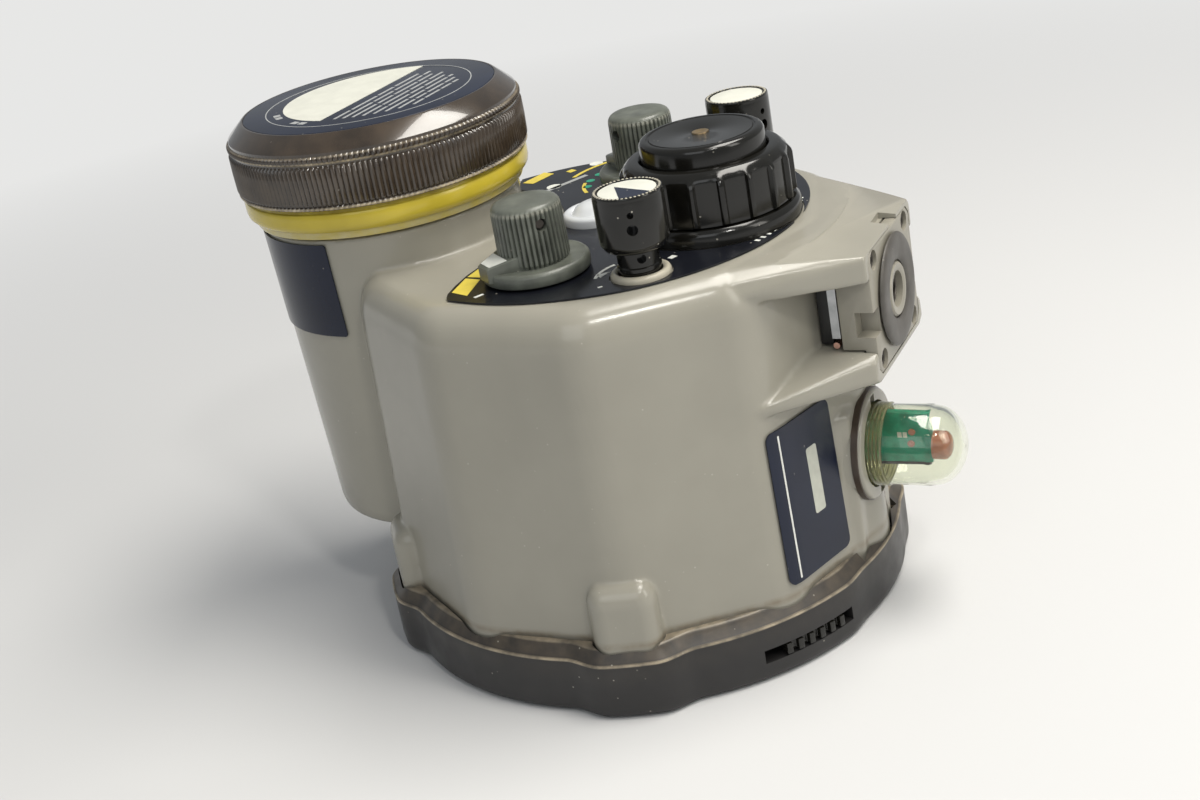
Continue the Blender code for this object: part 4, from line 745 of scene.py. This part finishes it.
def make_dials():
    """The two fluted knobs, each with a round skirt and a pointer arm that slopes to its tip."""
    for word, side, rest, hole_turn in DIALS:
        body = f"{word}_dial"
        low = foot(f"{word}_knob")
        high = top(f"{word}_knob")
        skirt = low + 2.5
        rows = [(3.3, high - 1.6, 0), (3.3, low, 0), (5.9, low, 0)]
        rows += above(skirt, [(6.0, 0.1, 0.5), (6.25, 0.4, 0.5)])
        rows += above(high, [
            (6.12, -1.7, 0.5), (6.08, -1.3, 0.4), (5.98, -0.95, 0.15), (5.85, -0.72, 0), (5.6, -0.42, 0),
            (5.25, -0.2, 0), (4.7, -0.06, 0), (3.6, 0, 0), (1.5, -0.04, 0),
        ])
        knob = to_object(f"{word}_knob_fluted", loft([ribbed(r, z, 42, d, FLUTE) for r, z, d in rows]))
        plate = above(low, [(5.0, 0), (9.1, 0), (9.4, 0.2), (9.5, 0.5)])
        plate += above(skirt, [(9.5, -0.75), (9.4, -0.45), (9.1, -0.12), (8.8, 0), (8.3, -0.12), (5.0, -0.2)])
        arm = hull(
            [(-9.9, y, z) for y in (-1.9, 1.9) for z in (low + 1.1, skirt + 1.0)]
            + [(-9.5, y, skirt + 1.3) for y in (-1.8, 1.8)]
            + [(-3.6, y, z) for y in (-4.4, 4.4) for z in (low + 0.3, skirt + 2.4)]
            + [(-3.6, y, skirt + 2.6) for y in (-4.2, 4.2)]
        )
        join(knob, turned(plate, ringed=True), take(arm, turn=(0, 0, rest)))
        cut(knob, take(rod(1.1, 3, 8, 24), (0, 0, high - 3.4), (0, pi / 2, hole_turn)))
        knob.data.transform(Matrix.Translation((0, side * KNOB_Y, 0)))
        piece(knob, SLATE, body, [f"{word}_knob"], sharp=32)
        if side < 0:
            # the white face on top of the arm
            face = mirrored([(-9.3, 1.75, skirt + 1.34), (-6.3, 2.9, skirt + 2.0)])
            index = hull([(x, y, z + rise) for x, y, z in face for rise in (0, 0.06)])
            film("mode_index", take(index, (0, side * KNOB_Y, 0), (0, 0, rest)), WHITE, body)


def make_locks():
    """The two push-and-turn knobs, on necks that stand in pale collars."""
    neck = half_width("front_lock_rod")
    wide = half_width("front_lock_knob")
    outer = half_width("front_lock_collar")
    base = PANEL + GAP
    low = foot("front_lock_knob")
    high = top("front_lock_knob")
    # the turns are those of the side holes in the neck and in the knob
    for word, side, neck_turn, knob_turn in (("front", -1, -56, -66), ("rear", 1, -20, -20)):
        place = (LOCK, side * LOCK_Y, 0)
        collar = above(base, [
            (neck + GAP, 0), (outer, 0), (outer, 0.5), (outer - 0.15, 0.85), (outer - 0.5, 1.08),
            (outer - 0.9, 1.1), (neck + GAP, 0.8),
        ])
        collar = (f"{word}_collar", take(turned(collar, 64, ringed=True), place))
        piece(collar, PALE_COLLAR, replaces=[f"{word}_lock_collar"])
        bead = above(base, [(neck, 1.3), (neck + 0.2, 1.5), (neck + 0.2, 2.1), (neck, 2.3)])
        stem = to_object(f"{word}_stem", turned([(neck, PANEL - 9)] + bead + [(neck, low - GAP)], 48))
        cut(stem, take(rod(0.8, 2.0, 6, 20), (0, 0, low - 1.4), (0, pi / 2, radians(neck_turn))))
        stem.data.transform(Matrix.Translation(place))
        piece(stem, BLACK, f"{word}_lock_slider", [f"{word}_lock_rod"])
        profile = above(low, [
            (neck + 0.6, 0), (wide - 0.95, 0), (wide - 0.7, 0.15), (wide - 0.1, 1.1), (wide, 1.5),
        ])
        profile += above(high, [
            (wide, -0.75), (wide - 0.06, -0.55), (wide - 0.02, -0.35), (wide - 0.12, -0.08), (wide - 0.35, 0),
            (wide - 0.75, 0), (wide - 0.9, -0.3), (2, -0.3),
        ])
        knob = to_object(f"{word}_lock_cap", turned(profile, 80))
        for z, radius in ((high - 2.9, 0.55), (high - 5.4, 0.95)):
            hole = rod(radius, wide - 2.5, wide + 1, 20)
            cut(knob, take(hole, (0, 0, z), (0, pi / 2, radians(knob_turn))))
        knob.data.transform(Matrix.Translation(place))
        piece(knob, BLACK, f"{word}_lock", [f"{word}_lock_knob"], sharp=32)
        beads = []
        for x, y in arc(wide - 0.5, 0, 2 * pi, 48, place[:2])[:-1]:
            beads.append(at(rounded_rod(0.24, high - 0.15, high + 0.08, 0.1, 10), x, y))
        film(f"{word}_lock_beads", together(*beads), PALE_COLLAR, f"{word}_lock")
        inlay = take(rounded_rod(wide - 1.05, high - 0.35, high - 0.12, 0.08), place)
        film(f"{word}_inlay", inlay, CREAM, f"{word}_lock")
        if side < 0:
            wedge = [(LOCK - 2.8, 1.2 - LOCK_Y)] + arc(wide - 1.1, radians(-82), radians(-16), 16, place[:2])
            film("front_wedge", prism(wedge, high - 0.12, high - 0.07), NAVY, "front_lock")


def make_sync_port():
    """The port's collar, the ribbed ring on its neck, and the disc that closes it."""
    base = PANEL + GAP
    collar = foot("sync_nut") - GAP
    neck = top("sync_socket")
    socket = above(base, [(11.3, 0), (15.8, 0), (16.0, 0.2)])
    socket += above(collar, [(16.0, -1.0), (15.8, -0.5), (15.3, 0), (13.1, 0)])
    socket = [(11.3, PANEL - 9.5)] + socket + [(13.1, neck), (10.0, neck), (10.0, PANEL - 5.5)]
    socket = at(turned(socket, 128), SYNC)
    piece(("port_socket", socket), BLACK, replaces=["sync_socket"])
    low = foot("sync_nut")
    high = top("sync_nut")
    rows = above(low, [(15.0, 0, 0.3), (15.4, 0.3, 0.75), (15.45, 0.8, 0.75)])
    rows += above(high, [
        (15.45, -2.6, 0.75), (15.3, -2.0, 0.6), (14.95, -1.5, 0.25), (14.5, -1.0, 0), (13.75, -0.25, 0),
        (13.3, 0, 0), (11.7, 0, 0), (11.45, -0.3, 0), (11.45, -1.7, 0), (13.4, -1.7, 0),
    ])
    rows.append((13.4, low, 0))
    nut = at(loft([ribbed(r, z, 18, d, GRIP) for r, z, d in rows], ringed=True), SYNC)
    piece(("port_nut", nut), BLACK, "sync_nut", ["sync_nut"], sharp=30)
    lid = top("sync_plug")
    plug = above(PANEL, [(8.7, -1.5), (9.7, -0.5)]) + [(9.7, neck + GAP), (12.6, neck + GAP)]
    plug += above(high, [(12.6, -2.0), (11.15, -2.0)])
    plug += above(lid, [
        (11.15, -0.9), (11.0, -0.5), (10.65, -0.15), (10.2, 0), (9.75, 0), (9.6, -0.22), (9.35, -0.22),
        (9.2, -0.02), (8.9, -0.06), (1.9, -0.06), (1.6, -0.2), (0.5, -0.6),
    ])
    piece(("port_lid", at(turned(plug, 128), SYNC)), BLACK, "sync_plug", ["sync_plug"])
    dimple = turned(above(lid, [(1.55, -0.3), (1.5, -0.02), (1.2, 0.02), (0.6, -0.2)]), 32)
    piece(("port_dimple", at(dimple, SYNC)), BRASS, "sync_plug")


def make_panel():
    """The film round the controls, with the ready lamp in it and generic marks on it."""
    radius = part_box("panel_label")[0].y / -MM
    outline = arc(radius, radians(-107), radians(137), 120)
    outline += [
        (-27.6, 22.6), (-26.2, 20.4), (-22, 18.2), (-17, 15.9), (-13.6, 12.4), (-10.6, 8), (-8.7, 4),
        (-8.3, -2), (-8.5, -8), (-10.6, -12.5), (-12.2, -16), (-13.1, -20), (-13.7, -26.4), (-13.4, -31.5),
        (-12.9, -35), (-12.2, -36.7),
    ]
    label = to_object("panel_film", prism(outline, LABEL_FOOT, LABEL_TOP))
    lamp_low, lamp_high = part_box("ready_lamp")
    lamp_place = ((lamp_low.x + lamp_high.x) / 2 / MM - HEAD, (lamp_low.y + lamp_high.y) / 2 / MM)
    lamp_radius = half_width("ready_lamp")
    holes = [(16.3, SYNC, 0), (lamp_radius + GAP, *lamp_place)]
    for side in (-1, 1):
        holes += [(3.3, 0, side * KNOB_Y), (half_width("front_lock_collar") + GAP, LOCK, side * LOCK_Y)]
    for r, x, y in holes:
        cut(label, at(rod(r, LABEL_FOOT - 1, LABEL_TOP + 1, 64), x, y))
    piece(label, PANEL_FILM, replaces=["panel_label"])
    make_ready_lens(lamp_radius, lamp_place)
    make_panel_marks()


def make_ready_lens(r, place):
    """The ready lamp's milky lens, a low dome inside a rim."""
    lens = above(PANEL + GAP, [
        (r, 0), (r, 1.2), (r - 0.15, 1.6), (r - 0.55, 1.85), (r - 1.2, 1.9), (r - 1.5, 1.75), (r - 1.7, 1.55),
        (r - 1.95, 1.7), (r - 2.5, 2.4), (r - 3.4, 3.0), (r - 4.6, 3.4), (r - 6.0, 3.5),
    ])
    piece(("ready_lens", at(turned(lens), *place)), LENS, replaces=["ready_lamp"])


def dot(radius, centre, steps=20):
    return arc(radius, 0, 2 * pi - 0.3, steps, centre)


def make_panel_marks():
    """Plain blocks, arcs, ticks and dots where the scales are."""
    dial = (0, -KNOB_Y)
    rear = (0, KNOB_Y)
    lock = (LOCK, -LOCK_Y)
    yellow = [
        [(-12.4, -34.4), (-8.6, -35.9), (-9.9, -28.5), (-13.1, -27.9)],
        [(-13.1, -27.2), (-10.2, -27.5), (-12.2, -22.1), (-12.8, -22.1)],
        [(-27.4, 24.2), (-24.8, 23.6), (-22.9, 29.6), (-25.6, 30.6)],
        [(-20.6, 30.6), (-19.2, 29.8), (-18.5, 31.2), (-19.9, 32.0)],
        sector(16.6, 17.4, 122, 176, rear),
        sector(12.6, 13.3, 192, 222, rear),
    ]
    white = [
        dot(1.5, (-18.9, 21.2)), dot(1.4, (-15.8, 35.2)),
        sector(7.6, 8.2, 148, 196, lock),
        [(12.0, -27.2), (13.9, -25.6), (13.3, -28.4)],
        sector(7.2, 8.6, 66, 74, lock), sector(7.4, 8.2, 228, 232, lock),
        sector(7.2, 8.6, -74, -66, (LOCK, LOCK_Y)),
        sector(11.4, 13.2, 238, 241, dial),
    ]
    white += [sector(37.2, 38.2, a, a + 0.9) for a in (-19, -16.5, -14, -11.5, 9, 11.5, 14)]
    around = map(radians, (150, 168, 186, 204))
    green = [dot(0.9, (12.2 * cos(a), KNOB_Y + 12.2 * sin(a)), 18) for a in around]
    grey = [[(-20.4, 17.6), (-19.4, 17.2), (-14.2, 27.6), (-15.2, 28.1)]]
    for word, outlines, look in (
        ("white", white, WHITE), ("yellow", yellow, PRINT_YELLOW), ("green", green, PRINT_GREEN),
        ("grey", grey, FAINT),
    ):
        shape = together(*[prism(o, LABEL_TOP, LABEL_TOP + INK) for o in outlines])
        film(f"panel_print_{word}", shape, look)


def sheet(rows, place, thick, base, columns=24):
    """A closed thin plate wrapped over a curved wall.

    Each row is (z, first, last), and place gives the wall's point.
    """
    shape = bmesh.new()
    grids = []
    for offset in (base, base + thick):
        grid = []
        for z, first, last in rows:
            across = [first + (last - first) * i / columns for i in range(columns + 1)]
            grid.append([shape.verts.new(place(u, z, offset)) for u in across])
        grids.append(grid)
    for k, grid in enumerate(grids):
        for low, high in zip(grid, grid[1:]):
            for i in range(columns):
                corners = (low[i], low[i + 1], high[i + 1], high[i])
                shape.faces.new(corners if k else corners[::-1])
    inner, outer = grids
    end = len(rows) - 1
    edge = [(0, i) for i in range(columns)] + [(j, columns) for j in range(end)]
    edge += [(end, i) for i in range(columns, 0, -1)] + [(j, 0) for j in range(end, 0, -1)]
    for (j, i), (m, n) in zip(edge, edge[1:] + edge[:1]):
        shape.faces.new((inner[j][i], inner[m][n], outer[m][n], outer[j][i]))
    return shape


def rounded_rows(low, high, first, last, corner, radius):
    """Rows of a rounded rectangle on a wall of about this radius."""
    rows = []
    for i in range(6):
        a = pi / 2 * i / 5
        pull = corner * (1 - sin(a)) / radius
        rows.append((low + corner * (1 - cos(a)), first + pull, last - pull))
    return rows + [(low + high - z, a, b) for z, a, b in rows[::-1]]


def wall_place(u, z, offset):
    """A point of the faceted wall, where u is the azimuth."""
    flat = head_flat(z) + offset
    rounding = ROUND + offset
    half = pi / FACETS
    corner = round(u / (2 * half)) * 2 * half
    away = u - corner
    reach = (flat - rounding) / cos(half)
    # the round corner ends where its tangent meets the flat
    if abs(away) > rounding * sin(half) / (reach + rounding * cos(half)):
        r = flat / cos(half - abs(away))
    else:
        r = reach * cos(away) + (rounding**2 - (reach * sin(away)) ** 2) ** 0.5
    return (r * cos(u), r * sin(u), z)


def make_plates():
    """The films on the head's wall and on the tube."""
    low, high = foot("nameplate"), top("nameplate")
    first, last = radians(-36), radians(-14.9)
    offset = 0.2
    rows = rounded_rows(low, high, first, last, 1.5, 47)
    film("name_film", sheet(rows, wall_place, 0.3, offset), NAVY, replaces=["nameplate"])
    rule = [(z, first + 0.052, first + 0.06) for z in (low + 0.8, high - 1)]
    blank = rounded_rows(25.4, 38.0, radians(-24.9), radians(-21.3), 0.5, 47)
    film("name_rule", sheet(rule, wall_place, INK, offset + 0.3, 2), WHITE)
    film("name_blank", sheet(blank, wall_place, INK, offset + 0.3, 8), BLANK)

    def tube_place(u, z, out):
        r = TUBE_LOW + (TUBE_HIGH - TUBE_LOW) * (z - TUBE_BEND) / (TUBE_TOP - TUBE_BEND) + out
        return (BATTERY + r * cos(u), r * sin(u), z)

    high = TUBE_TOP - 0.8
    rows = rounded_rows(high - 18.3, high, radians(160), radians(270), 0.5, 24)
    film("tube_film", sheet(rows, tube_place, 0.3, 0.2, 48), NAVY, replaces=["tube_label"])


def make_mount():
    """The block between the flanges, with its rubber ring, insert and corner screws, and a black pad in the
    slot as painted shade.
    """
    face = MOUNT_FACE
    block = to_object("mount_body", loft([mount_outline(x, 0) for x in (52.7, face)]))
    join(block, box((48.7, -12.9, MOUNT_Z - 6.2), (53.7, 12.9, MOUNT_Z + 6.2)))
    soften(block, 0.3, 2)
    collar = [(4.8, 53.7)] + above(face, [(4.8, 0.5), (4.5, 0.8), (3.6, 0.8), (3.3, 0.6)])
    join(block, along_x(turned(collar, 64), z=MOUNT_Z))
    cuts = [along_x(rod(3.2, 47.7, face + 3), z=MOUNT_Z)]
    for side in (-1, 1):
        across = sorted((side * 9.7, side * 13.9))
        cuts.append(box((51.5, across[0], MOUNT_Z - 3.8), (face + 1, across[1], MOUNT_Z + 0.8)))
        for y, z in MOUNT_SCREWS:
            if side * y > 0:
                hole = turned([(1.5, 51.7), (1.5, face - 1.5), (1.8, face - 1.5), (1.8, face + 1)], 32)
                cuts.append(along_x(hole, y, MOUNT_Z + z))
    cut(block, *cuts)
    piece(block, BLOCK, replaces=["mount_block"])
    # a black block against the wall in the slot: painted shade of the deep recess
    pad = to_object("mount_slot_shade", box((44.15, -10.5, MOUNT_Z - 6.1), (46.5, 10.5, MOUNT_Z + 6.1)))
    piece(soften(pad, 0.3, 2), SEAL_AND_SHADE_BLACK)
    ring = above(face, [
        (5.1, 0.35), (5.1, 0.55), (5.4, 0.8), (6.2, 0.98), (7.2, 1.08), (8.2, 1.12), (9.0, 1.08), (9.6, 0.95),
        (9.92, 0.72), (10.0, 0.5), (9.8, 0.3), (5.2, 0.3),
    ])
    ring = along_x(turned(ring, ringed=True), z=MOUNT_Z)
    piece(("mount_rubber", ring), RUBBER, replaces=["mount_ring"])
    insert = [(2.75, 48.6), (3.15, 48.6)] + above(face, [(3.15, -0.7), (2.95, -0.5), (2.75, -0.7)])
    insert = along_x(turned(insert, 48, ringed=True), z=MOUNT_Z)
    piece(("mount_insert", insert), DARK_STEEL)
    for number, (y, z) in enumerate(MOUNT_SCREWS, 1):
        screw = [(1.2, 46.7)] + above(face, [(1.2, -1.3), (1.5, -1.3), (1.5, -0.7), (1.3, -0.5)])
        screw = to_object(f"mount_screw_head_{number}", along_x(turned(screw, 24), y, MOUNT_Z + z))
        cut(screw, along_x(rod(0.7, face - 1.0, face, 6), y, MOUNT_Z + z))
        piece(screw, DARK_STEEL, replaces=[f"mount_screw_{number}"])


def make_sensor():
    """The clear nose on its threaded foot, with the board and the photodiode inside."""
    seat = SEAT_FACE
    dome = SENSOR_TIP - 5.9
    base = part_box("sensor_tube")[0].x / MM - HEAD
    step = seat + 2.9
    r = SEAT_RADIUS
    seat_band = [(r + 0.02, 46.5), (r + 0.22, 46.6), (r + 0.22, 47.7), (r + 0.02, 47.8)]
    seat_band = along_x(turned(seat_band, ringed=True), z=SENSOR_Z)
    piece(("seat_band", seat_band), SEAT_BROWN)
    thread = []
    for i in range(4):
        thread += above(seat + 0.1 + 0.7 * i, [(7.35, 0), (7.65, 0.22), (7.65, 0.36), (7.35, 0.58)])
    thread = [(6.95, step), (6.95, base), (7.4, base), (7.4, seat)] + thread + [(7.35, step)]
    thread = along_x(turned(thread, ringed=True), z=SENSOR_Z)
    piece(("sensor_thread", thread), THREAD, replaces=["sensor_tube"], sharp=25)
    shell = [(7.35, step), (7.42, step + 0.2), (7.42, dome - 1.0), (7.25, dome - 0.75), (7.25, dome - 0.35)]
    shell += [(7.2 * cos(a), dome - 0.3 + 5.5 * sin(a)) for a in (radians(9 * k) for k in range(1, 10))]
    inner = [(6.4 * cos(a), dome - 0.6 + 4.8 * sin(a)) for a in (radians(11 * k) for k in range(8, -1, -1))]
    inner += [(6.95, dome - 1.6), (6.95, step)]
    piece(("sensor_nose", along_x(turned(inner + shell), z=SENSOR_Z)), CLEAR, sharp=35)
    end = dome - 0.9
    board = box((base + 2, -0.8, SENSOR_Z - 3.2), (end, 0.8, SENSOR_Z + 6.4))
    piece(soften(to_object("sensor_circuit", board), 0.1, 1), BOARD, replaces=["sensor_board"])
    edge = box((base + 2.2, -0.95, SENSOR_Z - 3.6), (end - 0.4, 0.75, SENSOR_Z - 3.18))
    piece(("sensor_board_edge", edge), SEAL_AND_SHADE_BLACK)
    parts = []
    for x, z in ((end - 3.4, 2.9), (end - 3.7, 0.6)):
        parts.append(turn_y(rounded_rod(0.62, 0, 0.45, 0.15, 20), x, SENSOR_Z + z))
    piece(("sensor_parts", together(*parts)), DIODE)
    low, high = SENSOR_Z + 1.7, SENSOR_Z + 2.7
    pads = [box((end - 5.9 + x, -0.92, low), (end - 5.2 + x, -0.8, high)) for x in (0, 0.9)]
    piece(("sensor_pads", together(*pads)), WHITE)
    diode = above(end + GAP, [(2.6, 0), (2.6, 2.0), (2.4, 2.5), (1.8, 3.0), (0.9, 3.3), (0.2, 3.35)])
    diode = along_x(turned(diode, 48), z=SENSOR_Z)
    piece(("sensor_eye", diode), DIODE, replaces=["sensor_photodiode"])


def turn_y(shape, x, z):
    """Stands a small round part on the board's front face."""
    return take(shape, (x, -0.8, z), (pi / 2, 0, 0))


def make_front():
    """The clear window and the reflector behind it."""
    window = rounded_rod(44.5, foot("front_window"), top("front_window"), 0.4, 160)
    piece(("window_disc", window), WINDOW, replaces=["front_window"])
    low = foot("reflector")
    rim = 42.3
    face = [(rim * (1 - i / 24), low + 10.3 * (1 - (1 - i / 24) ** 2)) for i in range(17)]
    face.append((0.3 * rim, top("reflector") - 0.8))
    back = [(r, z + 0.8) for r, z in face]
    back[0] = (rim, low + 0.4)
    bowl = turned(face[::-1] + back)
    piece(("reflector_bowl", bowl), MIRROR, replaces=["reflector"])


def dress_frame():
    """Gives the pieces that stay as they are in the frame their materials."""
    looks = (
        (SEAL_AND_SHADE_BLACK, "window_gasket battery_o_ring"), (LAMP, "flash_tube_left flash_tube_right focus_lamp"),
        (CAN, "main_capacitor"), (BOARD, "main_board control_board"), (TAPE, "trigger_transformer"),
        (HOLDER, "cell_holder"), (BRASS, "bottom_contact_plate cap_contact_plate"), (COPPER, "mount_pin"),
        (STEEL, "mount_nut_plate mode_shaft power_shaft"), (DARK_STEEL, "mode_grub_screw power_grub_screw"),
        (CELL, "aa_cell_1 aa_cell_2 aa_cell_3 aa_cell_4"),
    )
    for look, nodes in looks:
        for node in nodes.split():
            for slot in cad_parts[node].material_slots:
                slot.material = look


def make_floor():
    """A pale floor. Away from the object and its shadow it is an even ground, in reflections too."""
    material = bpy.data.materials.new("stage_pale")
    material.use_nodes = True
    tree = material.node_tree
    shader = tree.nodes["Principled BSDF"]
    shader.inputs["Base Color"].default_value = (0.62, 0.62, 0.62, 1)
    shader.inputs["Roughness"].default_value = 0.9
    where = put(tree, "TexCoord").outputs["Object"]
    away = put(tree, "VectorMath", {0: where}, operation="LENGTH").outputs["Value"]
    path = put(tree, "LightPath").outputs
    seen = combine(tree, "MAXIMUM", path["Is Camera Ray"], path["Is Glossy Ray"])
    seen = combine(tree, "MAXIMUM", seen, path["Is Transmission Ray"])
    share = combine(tree, "MULTIPLY", seen, ramp(tree, away, 0.16, 0.5))
    plain = put(tree, "Emission", {"Color": GROUND, "Strength": 1.0}).outputs[0]
    both = put(tree, "MixShader", {0: share, 1: shader.outputs[0], 2: plain}).outputs[0]
    tree.links.new(both, tree.nodes["Material Output"].inputs["Surface"])
    mesh = bpy.data.meshes.new("floor")
    shape = bmesh.new()
    shape.faces.new([shape.verts.new((x, y, -0.0002)) for x, y in ((-5, -5), (5, -5), (5, 5), (-5, 5))])
    shape.to_mesh(mesh)
    shape.free()
    mesh.materials.append(material)
    floor = add("floor", mesh)


def make_world():
    """Soft light from all sides. Beyond the floor's edge, the camera sees the same even ground."""
    world = bpy.data.worlds.new("studio")
    world.use_nodes = True
    bpy.context.scene.world = world
    tree = world.node_tree
    light = tree.nodes["Background"]
    light.inputs["Color"].default_value = (0.92, 0.96, 1.0, 1)
    light.inputs["Strength"].default_value = 0.33
    plain = put(tree, "Background", {"Color": GROUND, "Strength": 1.0}).outputs[0]
    seen = put(tree, "LightPath").outputs["Is Camera Ray"]
    both = put(tree, "MixShader", {0: seen, 1: light.outputs[0], 2: plain}).outputs[0]
    tree.links.new(both, tree.nodes["World Output"].inputs["Surface"])


def make_lamps():
    """Soft lamps, in metres and watts. Each looks at the middle of the object."""
    for name, power, tint, wide, deep, place in (
        ("key", 5.4, (1.0, 0.965, 0.9), 0.5, 0.28, (0.25, 0.08, 0.68)),
        ("front", 1.0, (0.95, 0.98, 1.0), 0.5, 0.5, (0.1, -0.75, 0.5)),
        ("side", 1.5, (1.0, 0.97, 0.9), 0.25, 0.5, (0.75, -0.1, 0.4)),
        ("glint", 0.6, (1.0, 0.97, 0.92), 0.05, 0.05, (0.32, -0.3, 0.5)),
    ):
        data = bpy.data.lights.new(name, "AREA")
        data.shape = "RECTANGLE"
        data.energy = power
        data.color = tint
        data.size = wide
        data.size_y = deep
        lamp = add(name, data)
        lamp.location = place
        lamp.rotation_euler = (Vector((0, 0, 0.05)) - lamp.location).to_track_quat("-Z", "Y").to_euler()


def make_camera():
    """The camera of the photograph, as fitted to it. The roll stands for the object's lean there."""
    data = bpy.data.cameras.new("camera")
    data.lens = 53.94
    data.sensor_width = 36
    data.clip_start = 0.01
    camera = add("camera", data)
    yaw, pitch, roll = radians(-28.17), radians(23.08), radians(-10.76)
    ahead = Vector((sin(yaw) * cos(pitch), cos(yaw) * cos(pitch), -sin(pitch)))
    right = ahead.cross(Vector((0, 0, 1))).normalized()
    up = right.cross(ahead)
    across = cos(roll) * right + sin(roll) * up
    upright = -sin(roll) * right + cos(roll) * up
    turn = Matrix((across, upright, -ahead)).transposed().to_4x4()
    camera.matrix_world = Matrix.Translation((0.147825, -0.2827, 0.174)) @ turn
    bpy.context.scene.camera = camera
    bpy.context.scene.view_settings.view_transform = "Standard"


make_floor()
make_world()
make_lamps()
make_camera()
make_housing()
make_bezel()
make_battery_end()
make_dials()
make_locks()
make_sync_port()
make_panel()
make_plates()
make_mount()
make_sensor()
make_front()
dress_frame()
